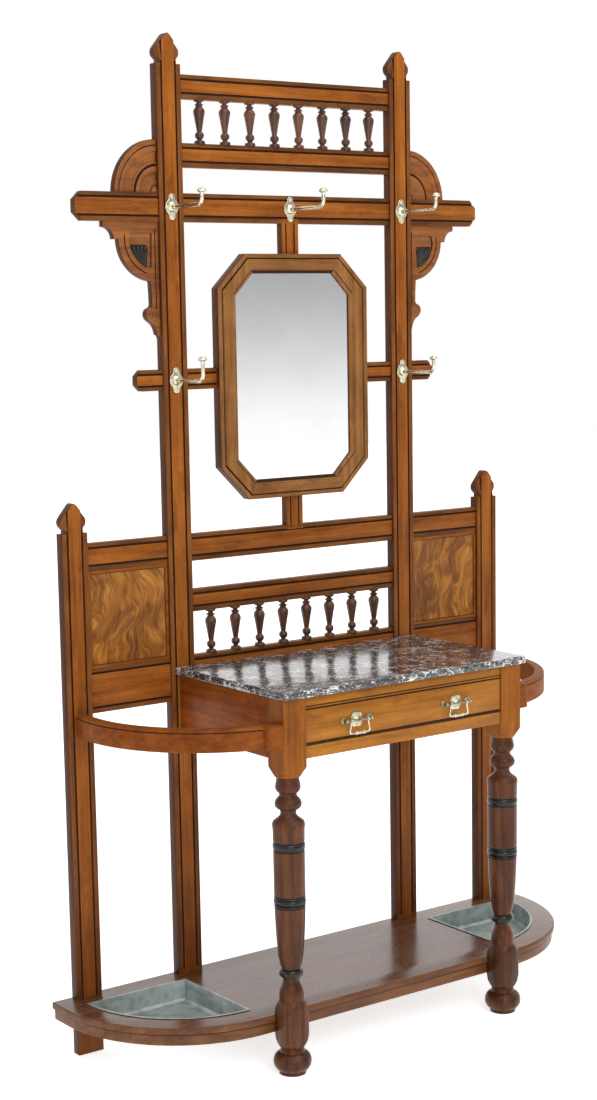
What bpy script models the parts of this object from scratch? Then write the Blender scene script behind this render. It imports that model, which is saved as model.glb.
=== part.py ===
"""Hall tree with hooks: a walnut hall stand with a mirror, a marble top over a drawer,
brass hooks, umbrella rails and lift-out drip trays.

X runs across the front with 0 on the centre line, Y is 0 on the front faces of the
stiles and grows to the back, Z is height above the floor. An empty carries the whole
stand and moves it so that the middle of its footprint is on the world's origin.
Units are metres.
"""

import math

import bmesh
import bpy
from mathutils import Matrix, Vector

# Driving dimensions
CENTRE_Y = 0.187
GAP = 0.0003

STILE_WIDTH, STILE_DEPTH = 0.060, 0.024
INNER_X, OUTER_X = 0.308, 0.5645
TALL_SHOULDER, SHORT_SHOULDER = 2.072, 1.116

RAIL_FRONT = 0.0045
LAP_Y = 0.013
GROOVE_WIDTH, GROOVE_DEPTH, STRIP = 0.004, 0.003, 0.011
TENON_BACK, TENON_FRONT, TENON_LENGTH = 0.017, 0.010, 0.018
HOOK_RAIL_REACH, HOOK_RAIL_CHAMFER = 0.5365, 0.017

SPINDLE_Y, SPINDLE_PITCH, SPINDLES = 0.0115, 0.0647, 8
PEG_RADIUS, PEG_LENGTH = 0.005, 0.008

FRAME_FRONT, FRAME_BACK = -0.008, 0.017
FRAME_HALF, FRAME_BOTTOM, FRAME_TOP, FRAME_CORNER = 0.2015, 1.1565, 1.6855, 0.073
SIGHT_HALF, SIGHT_BOTTOM, SIGHT_TOP, SIGHT_CORNER = 0.1515, 1.200, 1.643, 0.049
REBATE, REBATE_Y = 0.0065, 0.0007
ARM_BOTTOM, ARM_TOP, ARM_REACH = 1.4005, 1.4445, 0.401
HANGER_HALF = 0.0225

MARBLE_HALF, MARBLE_FRONT, MARBLE_BOTTOM, MARBLE_TOP = 0.3295, -0.398, 0.7926, 0.809
LEG_X, LEG_Y, BLOCK_HALF = 0.292, -0.356, 0.028
CASE_FRONT, CASE_TOP, CASE_BOTTOM = -0.381, 0.7923, 0.664
DRAWER_BOTTOM, DRAWER_TOP, DRAWER_HALF = 0.692, 0.7705, 0.2633
PULL_X, PULL_Z, PIN_Y, PIN_RADIUS = 0.134, 0.729, -0.3935, 0.002

RING_X, RING_Y, RING_INNER, RING_OUTER = 0.280, -0.062, 0.2785, 0.302
RING_BOTTOM, RING_TOP = 0.691, 0.739

SHELF_TOP, SHELF_EDGE, SHELF_BOTTOM, SHELF_BACK = 0.1236, 0.107, 0.085, 0.024
SHELF_X, SHELF_Y, SHELF_RADIUS = 0.340, -0.033, 0.303
TRAY_X, TRAY_RADIUS, TRAY_RIM, TRAY_FLOOR, TRAY_WALL = 0.344, 0.248, 0.0021, 0.078, 0.0015

SIDES = ((-1, "left"), (1, "right"))


# Scene, collections and materials

for leftover in list(bpy.data.objects):
    bpy.data.objects.remove(leftover, do_unlink=True)


def new_collection(name):
    collection = bpy.data.collections.new(name)
    bpy.context.scene.collection.children.link(collection)
    return collection


PARTS = new_collection("hall_tree")
CUTTERS = new_collection("joint_shapes")


def new_material(name, colour, roughness, metallic=0.0):
    material = bpy.data.materials.new(name)
    material.use_nodes = True
    shader = material.node_tree.nodes["Principled BSDF"]
    shader.inputs["Base Color"].default_value = (*colour, 1.0)
    shader.inputs["Roughness"].default_value = roughness
    shader.inputs["Metallic"].default_value = metallic
    return material


WALNUT = new_material("walnut", (0.30, 0.12, 0.035), 0.35)
DARK_WALNUT = new_material("dark_walnut", (0.14, 0.06, 0.035), 0.35)
BURR = new_material("burr_walnut", (0.38, 0.17, 0.06), 0.3)
MARBLE = new_material("marble", (0.07, 0.065, 0.06), 0.2)
BRASS = new_material("brass", (0.62, 0.56, 0.36), 0.35, 1.0)
GLASS = new_material("silvered_glass", (0.85, 0.86, 0.86), 0.03, 1.0)
DEAL = new_material("deal", (0.45, 0.30, 0.16), 0.6)
ZINC = new_material("galvanised_iron", (0.25, 0.29, 0.27), 0.45, 1.0)


def new_empty(name, location, parent=None):
    empty = bpy.data.objects.new(name, None)
    empty.location = location
    empty.parent = parent
    PARTS.objects.link(empty)
    return empty


STAND = new_empty("hall_stand", (0, CENTRE_Y, 0))


def place(obj, location=(0, 0, 0), parent=STAND, material=None):
    """Puts a new object in its collection, in its place on the stand or on a moving part."""
    for collection in list(obj.users_collection):
        collection.objects.unlink(obj)
    obj.location = location
    obj.parent = parent
    if material is None:
        CUTTERS.objects.link(obj)
        obj.hide_render = True
        obj.display_type = "WIRE"
    else:
        PARTS.objects.link(obj)
        obj.data.materials.clear()
        obj.data.materials.append(material)
    return obj


# Shapes

def box(name, low, high, material=None, parent=STAND, origin=(0, 0, 0)):
    """A box between two corners."""
    low, high, origin = Vector(low), Vector(high), Vector(origin)
    shape = bmesh.new()
    scale = Matrix.Diagonal((*(high - low), 1))
    matrix = Matrix.Translation((low + high) / 2 - origin) @ scale
    bmesh.ops.create_cube(shape, size=1, matrix=matrix)
    mesh = bpy.data.meshes.new(name)
    shape.to_mesh(mesh)
    shape.free()
    return place(bpy.data.objects.new(name, mesh), origin, parent, material)


def cylinder(name, centre, radius, length, axis="Z", sides=16, parent=STAND, origin=(0, 0, 0)):
    """A joining or cutting cylinder, centred on a point."""
    turn = {"X": Matrix.Rotation(math.pi / 2, 4, "Y"), "Y": Matrix.Rotation(math.pi / 2, 4, "X")}
    matrix = Matrix.Translation(Vector(centre) - Vector(origin)) @ turn.get(axis, Matrix())
    shape = bmesh.new()
    bmesh.ops.create_cone(
        shape, cap_ends=True, segments=sides, radius1=radius, radius2=radius, depth=length, matrix=matrix
    )
    mesh = bpy.data.meshes.new(name)
    shape.to_mesh(mesh)
    shape.free()
    return place(bpy.data.objects.new(name, mesh), origin, parent)


def as_mesh(curve, weld=1e-5):
    """The mesh that a curve object evaluates to, with its caps welded on."""
    bpy.context.scene.collection.objects.link(curve)
    graph = bpy.context.evaluated_depsgraph_get()
    mesh = bpy.data.meshes.new_from_object(curve.evaluated_get(graph))
    shape = bmesh.new()
    shape.from_mesh(mesh)
    bmesh.ops.remove_doubles(shape, verts=shape.verts, dist=weld)
    bmesh.ops.recalc_face_normals(shape, faces=shape.faces)
    shape.to_mesh(mesh)
    shape.free()
    bpy.data.objects.remove(curve, do_unlink=True)
    return mesh


def flat_board(name, outlines, low, high, material=None, upright=True, parent=STAND, origin=(0, 0, 0)):
    """A board cut to a flat outline. Upright, the outline is in X and Z and the board
    runs from low to high in Y; otherwise it is in X and Y and runs from low to high in Z."""
    outline = bpy.data.curves.new(name, "CURVE")
    outline.dimensions = "2D"
    outline.fill_mode = "BOTH"
    outline.extrude = (high - low) / 2
    for points in outlines:
        spline = outline.splines.new("POLY")
        spline.points.add(len(points) - 1)
        for point, (across, along) in zip(spline.points, points):
            point.co = (across, along, 0, 1)
        spline.use_cyclic_u = True
    mesh = as_mesh(bpy.data.objects.new(name, outline))
    middle = (low + high) / 2
    turn = Matrix.Rotation(math.pi / 2, 4, "X") if upright else Matrix()
    shift = Vector((0, middle, 0)) if upright else Vector((0, 0, middle))
    mesh.transform(Matrix.Translation(shift - Vector(origin)) @ turn)
    return place(bpy.data.objects.new(name, mesh), origin, parent, material)


def turned(name, profile, location, material=None, steps=8):
    """A turned piece, from (radius, height) pairs that run from its top to its bottom."""
    mesh = bpy.data.meshes.new(name)
    edges = [(index, index + 1) for index in range(len(profile) - 1)]
    mesh.from_pydata([(radius, 0, height) for radius, height in profile], edges, [])
    obj = place(bpy.data.objects.new(name, mesh), location, STAND, material)
    screw = obj.modifiers.new("turning", "SCREW")
    screw.steps = screw.render_steps = steps
    screw.use_merge_vertices = True
    screw.merge_threshold = 1e-5
    screw.use_smooth_shade = True
    return obj


def tube(name, points, radius, material=None, parent=STAND, origin=(0, 0, 0)):
    """A round bar through points given relative to its origin."""
    path = bpy.data.curves.new(name, "CURVE")
    path.dimensions = "3D"
    path.bevel_depth = radius
    path.bevel_resolution = 2
    path.use_fill_caps = True
    spline = path.splines.new("POLY")
    spline.points.add(len(points) - 1)
    for point, place_on_path in zip(spline.points, points):
        point.co = (*place_on_path, 1)
    mesh = as_mesh(bpy.data.objects.new(name, path))
    return place(bpy.data.objects.new(name, mesh), origin, parent, material)


def arc(centre, radius, start, end, steps):
    """Points on an arc between two angles in degrees. The radius is one number, or two for an ellipse."""
    across, along = radius if isinstance(radius, tuple) else (radius, radius)
    angles = [math.radians(start + (end - start) * step / steps) for step in range(steps + 1)]
    return [(centre[0] + across * math.cos(a), centre[1] + along * math.sin(a)) for a in angles]


def mirrored(points, side):
    return [(side * across, along) for across, along in points]


# Joints

def combine(obj, other, operation):
    modifier = obj.modifiers.new(operation.lower(), "BOOLEAN")
    modifier.operation = operation
    modifier.solver = "EXACT"
    modifier.object = other


def cut(obj, other):
    combine(obj, other, "DIFFERENCE")


def join(obj, other):
    combine(obj, other, "UNION")


def notch(obj, low, high):
    cut(obj, box(obj.name + "_notch", low, high))


def tenon(piece, holders, low, high):
    """A tongue on one piece, and the mortise for it in each piece that holds it."""
    join(piece, box(piece.name + "_tenon", low, high))
    slack = Vector((GAP, GAP, GAP))
    mortise = box(piece.name + "_mortise", Vector(low) - slack, Vector(high) + slack)
    for holder in holders:
        cut(holder, mortise)


# Back frame

FINIAL = ((0.030, 0), (0.020, 0), (0.020, 0.011), (0.030, 0.025), (0.019, 0.045), (0.0045, 0.0605))
FINIAL_HEIGHT = 0.062


def stile(name, centre, bottom, shoulder):
    """A grooved post with a pointed finial above its shoulder."""
    half = STILE_WIDTH / 2
    right = [(half, bottom)] + [(across, shoulder + up) for across, up in FINIAL]
    outline = right + [(0, shoulder + FINIAL_HEIGHT)] + mirrored(right[::-1], -1)
    outline = [(centre + across, up) for across, up in outline]
    post = flat_board(name, [outline], 0, STILE_DEPTH, WALNUT)
    for side in (-1, 1):
        middle = centre + side * (half - STRIP - GROOVE_WIDTH / 2)
        low = (middle - GROOVE_WIDTH / 2, -0.01, bottom + 0.06)
        notch(post, low, (middle + GROOVE_WIDTH / 2, GROOVE_DEPTH, shoulder - 0.006))
    return post


inner_stiles, outer_stiles = {}, {}
for side, hand in SIDES:
    inner_stiles[side] = stile(f"stile_inner_{hand}", side * INNER_X, SHELF_TOP + GAP, TALL_SHOULDER)
    outer_stiles[side] = stile(f"stile_outer_{hand}", side * OUTER_X, 0, SHORT_SHOULDER)

INNER_FACE = INNER_X - STILE_WIDTH / 2
PASSED_FACE = INNER_X + STILE_WIDTH / 2
OUTER_FACE = OUTER_X - STILE_WIDTH / 2


def grooved_rail(name, reach, bottom, top, chamfer=0.0):
    """A cross rail with a groove near its top and its bottom edge."""
    right = [(reach, bottom + chamfer), (reach, top - chamfer)]
    if chamfer:
        right = [(reach - chamfer, bottom)] + right + [(reach - chamfer, top)]
    rail = flat_board(name, [right + mirrored(right[::-1], -1)], RAIL_FRONT, STILE_DEPTH, WALNUT)
    for middle in (bottom + 0.012, top - 0.010):
        low = (-reach - 0.01, -0.01, middle - GROOVE_WIDTH / 2)
        notch(rail, low, (reach + 0.01, RAIL_FRONT + GROOVE_DEPTH, middle + GROOVE_WIDTH / 2))
    return rail


def half_lap(rail, post, side, bottom, top):
    """The rail passes behind the stile: each gives up part of its thickness."""
    low_x, high_x = sorted((side * (INNER_FACE - GAP), side * (PASSED_FACE + GAP)))
    notch(rail, (low_x, -0.01, bottom - 0.01), (high_x, LAP_Y + GAP / 2, top + 0.01))
    notch(post, (low_x - 0.01, LAP_Y - GAP / 2, bottom - GAP), (high_x + 0.01, 0.03, top + GAP))


def stub_tenons(rail, posts, reach, bottom, top):
    for side in (-1, 1):
        low_x, high_x = sorted((side * (reach - 0.005), side * (reach + TENON_LENGTH)))
        low = (low_x, TENON_FRONT, bottom + 0.008)
        tenon(rail, [posts[side]], low, (high_x, TENON_BACK, top - 0.008))


rails = {}
for name, bottom, top in (
    ("top_rail", 2.003, 2.0526),
    ("upper_gallery_rail", 1.863, 1.913),
    ("lower_gallery_rail", 0.9235, 0.972),
):
    rails[name] = grooved_rail(name, INNER_FACE - GAP, bottom, top)
    stub_tenons(rails[name], inner_stiles, INNER_FACE - GAP, bottom, top)

for name, bottom, top in (("waist_rail", 1.0335, 1.092), ("base_rail", 0.7335, 0.8283)):
    rails[name] = grooved_rail(name, OUTER_FACE - GAP, bottom, top)
    stub_tenons(rails[name], outer_stiles, OUTER_FACE - GAP, bottom, top)
    for side in (-1, 1):
        half_lap(rails[name], inner_stiles[side], side, bottom, top)

HOOK_RAIL_BOTTOM, HOOK_RAIL_TOP = 1.7505, 1.810
rails["hook_rail"] = grooved_rail(
    "hook_rail", HOOK_RAIL_REACH, HOOK_RAIL_BOTTOM, HOOK_RAIL_TOP, HOOK_RAIL_CHAMFER
)
for side in (-1, 1):
    half_lap(rails["hook_rail"], inner_stiles[side], side, HOOK_RAIL_BOTTOM, HOOK_RAIL_TOP)


# Gallery spindles

# Each pair is a radius and a share of the height, from the top down.
SPINDLE_SHAPE = (
    (0.0110, 1.00), (0.0110, 0.95), (0.0062, 0.90), (0.0125, 0.80), (0.0112, 0.68),
    (0.0055, 0.36), (0.0085, 0.29), (0.0050, 0.22), (0.0115, 0.08), (0.0115, 0.00),
)


def gallery(prefix, lower, upper, bottom, top):
    """A row of spindles, pegged into the rail below and the rail above."""
    height = top - bottom - 2 * GAP
    peg_top = [(0, top + PEG_LENGTH), (PEG_RADIUS, top + PEG_LENGTH), (PEG_RADIUS, top - GAP)]
    body = [(radius, bottom + GAP + share * height) for radius, share in SPINDLE_SHAPE]
    peg_bottom = [(PEG_RADIUS, bottom + GAP), (PEG_RADIUS, bottom - PEG_LENGTH), (0, bottom - PEG_LENGTH)]
    for number in range(SPINDLES):
        across = (number - (SPINDLES - 1) / 2) * SPINDLE_PITCH
        turned(f"{prefix}_{number + 1}", peg_top + body + peg_bottom, (across, SPINDLE_Y, 0), DARK_WALNUT)
        for rail, face in ((lower, bottom), (upper, top)):
            hole = cylinder(
                f"{prefix}_{number + 1}_hole", (across, SPINDLE_Y, face),
                PEG_RADIUS + 3 * GAP, 2 * (PEG_LENGTH + GAP), sides=8,
            )
            cut(rail, hole)


gallery("upper_spindle", rails["upper_gallery_rail"], rails["top_rail"], 1.913, 2.003)
gallery("lower_spindle", rails["base_rail"], rails["lower_gallery_rail"], 0.8283, 0.9235)


# Mirror

def octagon(half, bottom, top, corner):
    right = [(half - corner, bottom), (half, bottom + corner), (half, top - corner), (half - corner, top)]
    return right + mirrored(right[::-1], -1)


def rebate_octagon(inset):
    grow = REBATE - inset
    return octagon(SIGHT_HALF + grow, SIGHT_BOTTOM - grow, SIGHT_TOP + grow, SIGHT_CORNER + grow / 2)


frame_outline = octagon(FRAME_HALF, FRAME_BOTTOM, FRAME_TOP, FRAME_CORNER)
sight_outline = octagon(SIGHT_HALF, SIGHT_BOTTOM, SIGHT_TOP, SIGHT_CORNER)
mirror_frame = flat_board(
    "mirror_frame", [frame_outline, sight_outline], FRAME_FRONT, FRAME_BACK, DARK_WALNUT
)
cut(mirror_frame, flat_board("mirror_rebate", [rebate_octagon(0)], REBATE_Y, 0.05))
flat_board("mirror_plate", [rebate_octagon(2 * GAP)], REBATE_Y + GAP, 0.005, GLASS)
flat_board("mirror_back_board", [rebate_octagon(2 * GAP)], 0.005 + GAP, 0.013, DEAL)

for side, hand in SIDES:
    inner, outer = FRAME_HALF + GAP, ARM_REACH
    chamfer = 0.0125
    outline = [
        (inner, ARM_BOTTOM), (outer - chamfer, ARM_BOTTOM), (outer, ARM_BOTTOM + chamfer),
        (outer, ARM_TOP - chamfer), (outer - chamfer, ARM_TOP), (inner, ARM_TOP),
    ]
    arm = flat_board(f"mirror_arm_{hand}", [mirrored(outline, side)], RAIL_FRONT, STILE_DEPTH, WALNUT)
    for middle in (ARM_BOTTOM + 0.010, ARM_TOP - 0.010):
        low_x, high_x = sorted((side * (inner - 0.01), side * (outer + 0.01)))
        low = (low_x, -0.01, middle - GROOVE_WIDTH / 2)
        notch(arm, low, (high_x, RAIL_FRONT + GROOVE_DEPTH, middle + GROOVE_WIDTH / 2))
    half_lap(arm, inner_stiles[side], side, ARM_BOTTOM, ARM_TOP)
    low_x, high_x = sorted((side * (inner - 0.012), side * (inner + 0.006)))
    tenon(arm, [mirror_frame], (low_x, 0.009, ARM_BOTTOM + 0.012), (high_x, 0.014, ARM_TOP - 0.012))

for name, bottom, top, holder in (
    ("mirror_hanger_upper", FRAME_TOP, HOOK_RAIL_BOTTOM, rails["hook_rail"]),
    ("mirror_hanger_lower", 1.092, FRAME_BOTTOM, rails["waist_rail"]),
):
    low = (-HANGER_HALF, RAIL_FRONT, bottom + GAP)
    hanger = box(name, low, (HANGER_HALF, STILE_DEPTH, top - GAP), WALNUT)
    for face in (bottom, top):
        low = (-HANGER_HALF + 0.008, 0.009, face - 0.010)
        tenon(hanger, [holder, mirror_frame], low, (HANGER_HALF - 0.008, 0.014, face + 0.010))


# Brackets: one board a side, passing behind the arm of the hook rail

BRACKET_FRONT, BRACKET_LAP = 0.008, 0.014
BRACKET_ROOT = PASSED_FACE + GAP
ARM_BRACKET_X, DISC_HEIGHT, CORNICE_X = 0.441, 0.109, 0.470


def bracket_outline():
    upper = arc((BRACKET_ROOT, HOOK_RAIL_TOP), (ARM_BRACKET_X - BRACKET_ROOT, DISC_HEIGHT), 90, 0, 8)
    under_rail = HOOK_RAIL_BOTTOM - GAP
    cornice = [(ARM_BRACKET_X, under_rail), (CORNICE_X, under_rail), (CORNICE_X, 1.739)]
    cove = arc((CORNICE_X, 1.714), 0.0245, 90, 180, 3)
    quadrant = arc((0.345, 1.716), 0.0890, -1, -80, 7)
    knob = [(0.357, 1.573), (0.368, 1.569), (0.372, 1.558), (0.366, 1.547), (0.355, 1.5415)]
    return upper + cornice + cove + quadrant + knob + [(0.347, 1.524), (BRACKET_ROOT, 1.510)]


for side, hand in SIDES:
    bracket = flat_board(
        f"bracket_{hand}", [mirrored(bracket_outline(), side)], BRACKET_FRONT, STILE_DEPTH, WALNUT
    )
    low_x, high_x = sorted((side * (PASSED_FACE - 0.01), side * (CORNICE_X + 0.02)))
    low = (low_x, -0.01, HOOK_RAIL_BOTTOM - GAP)
    notch(bracket, low, (high_x, BRACKET_LAP + GAP / 2, HOOK_RAIL_TOP + GAP))
    low_x, high_x = sorted((side * (PASSED_FACE - 0.001), side * (ARM_BRACKET_X + GAP)))
    low = (low_x, BRACKET_LAP - GAP / 2, HOOK_RAIL_BOTTOM - 0.01)
    notch(rails["hook_rail"], low, (high_x, 0.03, HOOK_RAIL_TOP + 0.01))


# Burr panels, tongued into the frame around them

PANEL_FRONT, PANEL_BACK = 0.006, 0.018
PANEL_BOTTOM, PANEL_TOP = 0.8283 + GAP, 1.0335 - GAP
PANEL_MARGIN, PANEL_SUNK, TONGUE = 0.014, 0.003, 0.005

for side, hand in SIDES:
    low_x, high_x = sorted((side * (PASSED_FACE + GAP), side * (OUTER_FACE - GAP)))
    panel = box(
        f"burr_panel_{hand}", (low_x, PANEL_FRONT, PANEL_BOTTOM), (high_x, PANEL_BACK, PANEL_TOP), BURR
    )
    low = (low_x + PANEL_MARGIN, -0.01, PANEL_BOTTOM + PANEL_MARGIN)
    notch(panel, low, (high_x - PANEL_MARGIN, PANEL_FRONT + PANEL_SUNK, PANEL_TOP - PANEL_MARGIN))
    holders = [inner_stiles[side], outer_stiles[side], rails["waist_rail"], rails["base_rail"]]
    low = (low_x - TONGUE, 0.0105, PANEL_BOTTOM - TONGUE)
    tenon(panel, holders, low, (high_x + TONGUE, 0.0125, PANEL_TOP + TONGUE))


# Hooks

HOOK_BODY, HOOK_LOBE, HOOK_LOBE_AT = 0.0165, 0.008, 0.019
HOOK_PLATE, HOOK_ARM = 0.003, 0.0033
HOOK_BEND, BUTTON_RADIUS, BUTTON_HEIGHT = 0.014, 0.0095, 0.0155


def hook(name, across, face, height, reach, rise):
    """A lobed plate, and an arm that runs straight out and turns up to a button.
    Reach is from the face to the button's axis, and rise from the arm to the button's top."""
    outline = (
        arc((0, 0), HOOK_BODY, -55, 55, 4) + arc((0, HOOK_LOBE_AT), HOOK_LOBE, -20, 200, 5)
        + arc((0, 0), HOOK_BODY, 125, 235, 4) + arc((0, -HOOK_LOBE_AT), HOOK_LOBE, 160, 380, 5)
    )
    outline = [(across + x, height + z) for x, z in outline]
    plate = flat_board(name, [outline], face - HOOK_PLATE - GAP, face - GAP, BRASS)
    bend = arc((HOOK_BEND - reach, HOOK_BEND), HOOK_BEND, -90, -175, 3)
    route = [(across, face - 0.001, height)] + [(across, face + y, height + z) for y, z in bend]
    route.append((across, face - reach, height + rise - 0.010))
    join(plate, tube(name + "_arm", route, HOOK_ARM))
    button = [(0, rise), (BUTTON_RADIUS, rise - 0.006), (BUTTON_RADIUS, rise - 0.009), (0, rise - BUTTON_HEIGHT)]
    join(plate, turned(name + "_button", button, (across, face - reach, height), steps=10))


# Hand-bent castings: each reaches out and rises a little differently.
hook("hook_upper_middle", 0, RAIL_FRONT, 1.781, 0.123, 0.039)
hook("hook_upper_left", -INNER_X, 0, 1.781, 0.116, 0.033)
hook("hook_upper_right", INNER_X, 0, 1.781, 0.124, 0.036)
hook("hook_lower_left", -INNER_X, 0, 1.421, 0.1045, 0.051)
hook("hook_lower_right", INNER_X, 0, 1.421, 0.113, 0.037)


# Front legs

# Radius and height of the turned stretches, from the top block down to the floor.
LEG_SHAPE = (
    (0.000, 0.640), (0.022, 0.640), (0.026, 0.609), (0.018, 0.592), (0.028, 0.572),
    (0.016, 0.551), (0.034, 0.530), (0.0326, 0.495), (0.0326, 0.354),
    (0.026, 0.252), (0.019, 0.225), (0.024, 0.221), (0.024, 0.208), (0.0166, 0.202),
    (0.025, 0.170), (0.022, 0.150), (0.022, 0.050), (0.036, 0.040),
    (0.040, 0.026), (0.028, 0.000), (0.000, 0.000),
)
UPPER_BLOCK, LOWER_BLOCK = (0.634, CASE_TOP), (0.068, 0.146)
BLOCK_INNER, BLOCK_OUTER = LEG_X - BLOCK_HALF, LEG_X + BLOCK_HALF
BLOCK_FRONT, BLOCK_BACK = LEG_Y - BLOCK_HALF, LEG_Y + BLOCK_HALF

legs = {}
for side, hand in SIDES:
    legs[side] = turned(f"front_leg_{hand}", LEG_SHAPE, (side * LEG_X, LEG_Y, 0), DARK_WALNUT, steps=16)
    low_x, high_x = sorted((side * BLOCK_INNER, side * BLOCK_OUTER))
    for bottom, top in (UPPER_BLOCK, LOWER_BLOCK):
        block = box(f"leg_block_{hand}", (low_x, BLOCK_FRONT, bottom), (high_x, BLOCK_BACK, top))
        join(legs[side], block)


# Case, marble and drawer

marble = box(
    "marble_top", (-MARBLE_HALF, MARBLE_FRONT, MARBLE_BOTTOM), (MARBLE_HALF, -GAP, MARBLE_TOP), MARBLE
)
edge = marble.modifiers.new("eased_edge", "BEVEL")
edge.width, edge.segments, edge.limit_method = 0.004, 2, "ANGLE"

CASE_RAIL_BACK, CASE_RAIL_SHOULDER = -0.345, 0.005
LEG_TENON_FRONT, LEG_TENON_BACK, LEG_TENON_ROOT, LEG_TENON_LENGTH = -0.366, -0.356, 0.005, 0.012
for name, bottom, top in (
    ("case_rail_upper", DRAWER_TOP + GAP, CASE_TOP),
    ("case_rail_lower", CASE_BOTTOM, DRAWER_BOTTOM - GAP),
):
    reach = BLOCK_INNER - GAP
    rail = box(name, (-reach, CASE_FRONT, bottom), (reach, CASE_RAIL_BACK, top), WALNUT)
    for side in (-1, 1):
        low_x, high_x = sorted((side * (reach - LEG_TENON_ROOT), side * (reach + LEG_TENON_LENGTH)))
        low = (low_x, LEG_TENON_FRONT, bottom + CASE_RAIL_SHOULDER)
        tenon(rail, [legs[side]], low, (high_x, LEG_TENON_BACK, top - CASE_RAIL_SHOULDER))

SIDE_OUTER, SIDE_INNER, RUNNER_INNER, RUNNER_BOTTOM, RUNNER_TOP = 0.318, 0.302, 0.240, 0.678, 0.6935
PANEL_TENON_INNER, PANEL_TENON_OUTER, PANEL_SHOULDER = 0.306, 0.314, 0.015
PANEL_TENON_ROOT, PANEL_TENON_INTO_LEG, PANEL_TENON_INTO_STILE = 0.005, 0.012, 0.006
for side, hand in SIDES:
    section = [
        (SIDE_OUTER, CASE_BOTTOM), (SIDE_OUTER, CASE_TOP), (SIDE_INNER, CASE_TOP), (SIDE_INNER, RUNNER_TOP),
        (RUNNER_INNER, RUNNER_TOP), (RUNNER_INNER, RUNNER_BOTTOM), (SIDE_INNER, RUNNER_BOTTOM),
        (SIDE_INNER, CASE_BOTTOM),
    ]
    panel = flat_board(
        f"case_side_{hand}", [mirrored(section, side)], BLOCK_BACK + GAP, -GAP, DARK_WALNUT
    )
    low_x, high_x = sorted((side * PANEL_TENON_INNER, side * PANEL_TENON_OUTER))
    low_z, high_z = CASE_BOTTOM + PANEL_SHOULDER, CASE_TOP - PANEL_SHOULDER
    low = (low_x, BLOCK_BACK - PANEL_TENON_INTO_LEG, low_z)
    tenon(panel, [legs[side]], low, (high_x, BLOCK_BACK + PANEL_TENON_ROOT, high_z))
    low = (low_x, -PANEL_TENON_ROOT, low_z)
    tenon(panel, [inner_stiles[side]], low, (high_x, PANEL_TENON_INTO_STILE, high_z))

DRAWER_BACK, DRAWER_WALL, DRAWER_FLOOR, ABOVE_BOX = -0.030, 0.010, 0.008, 0.02
BOX_FRONT, BOX_HALF, BOX_BOTTOM, BOX_TOP = -0.361, 0.256, 0.694, 0.764
drawer_slide = new_empty("drawer_slide", (0, CASE_FRONT, DRAWER_BOTTOM), STAND)
drawer_origin = (0, CASE_FRONT, DRAWER_BOTTOM)


def on_drawer(obj, origin=drawer_origin):
    """Hands a piece over to the sliding empty, leaving it where it is."""
    obj.parent = drawer_slide
    obj.location = Vector(origin) - Vector(drawer_origin)
    return obj


on_drawer(box(
    "drawer_front", (-DRAWER_HALF, CASE_FRONT, DRAWER_BOTTOM), (DRAWER_HALF, BOX_FRONT - GAP, DRAWER_TOP - GAP),
    WALNUT, origin=drawer_origin,
))
drawer_box = on_drawer(box(
    "drawer_box", (-BOX_HALF, BOX_FRONT, BOX_BOTTOM), (BOX_HALF, DRAWER_BACK, BOX_TOP), DEAL,
    origin=drawer_origin,
))
cut(drawer_box, on_drawer(box(
    "drawer_hollow", (DRAWER_WALL - BOX_HALF, BOX_FRONT + DRAWER_WALL, BOX_BOTTOM + DRAWER_FLOOR),
    (BOX_HALF - DRAWER_WALL, DRAWER_BACK - DRAWER_WALL, BOX_TOP + ABOVE_BOX), origin=drawer_origin,
)))

BAIL_TOP_HALF, BAIL_BOTTOM_HALF, BAIL_DROP = 0.022, 0.026, 0.0265
POST_X = 0.0325


def drawer_pull(hand, centre):
    """A pointed plate and two rosettes joined by posts and a pin, and the bail that hangs on the pin."""
    plate_shape = arc((-0.010, 0), 0.0245, -38, 38, 6) + arc((0.010, 0), 0.0245, 142, 218, 6)
    outline = [(centre + x, PULL_Z + z) for x, z in plate_shape]
    back = CASE_FRONT - GAP
    pull = on_drawer(flat_board(
        f"pull_{hand}", [outline], back - 0.0025, back, BRASS, origin=drawer_origin
    ))
    pin = cylinder("pin", (centre, PIN_Y, PULL_Z), PIN_RADIUS, 2 * POST_X, "X", 8, origin=drawer_origin)
    join(pull, on_drawer(pin))
    for across in (centre - POST_X, centre, centre + POST_X):
        long = back - PIN_Y + 0.0015
        post = cylinder("post", (across, back - long / 2, PULL_Z), 0.003, long, "Y", 10, origin=drawer_origin)
        join(pull, on_drawer(post))
        if across != centre:
            low = (across, back - 0.0015, PULL_Z)
            join(pull, on_drawer(cylinder("rosette", low, 0.0075, 0.003, "Y", 12, origin=drawer_origin)))

    hinge = (centre, PIN_Y, PULL_Z)
    top, bottom = BAIL_TOP_HALF, BAIL_BOTTOM_HALF
    path = [(-top, 0, -0.0035), (-bottom, 0, -BAIL_DROP), (bottom, 0, -BAIL_DROP), (top, 0, -0.0035)]
    bail = on_drawer(tube(f"bail_{hand}", path, 0.0021, BRASS, origin=hinge), hinge)
    low = (centre, PIN_Y, PULL_Z - BAIL_DROP)
    join(bail, on_drawer(cylinder("grip", low, 0.003, 0.040, "X", 12, origin=hinge), hinge))
    for end in (-top, top):
        eye = cylinder("eye", (centre + end, PIN_Y, PULL_Z), 0.0045, 0.004, "X", 12, origin=hinge)
        join(bail, on_drawer(eye, hinge))
    bore = cylinder("bore", hinge, PIN_RADIUS + 0.0007, 0.08, "X", 8, origin=hinge)
    cut(bail, on_drawer(bore, hinge))


for side, hand in SIDES:
    drawer_pull(hand, side * PULL_X)


# Umbrella rails

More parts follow.
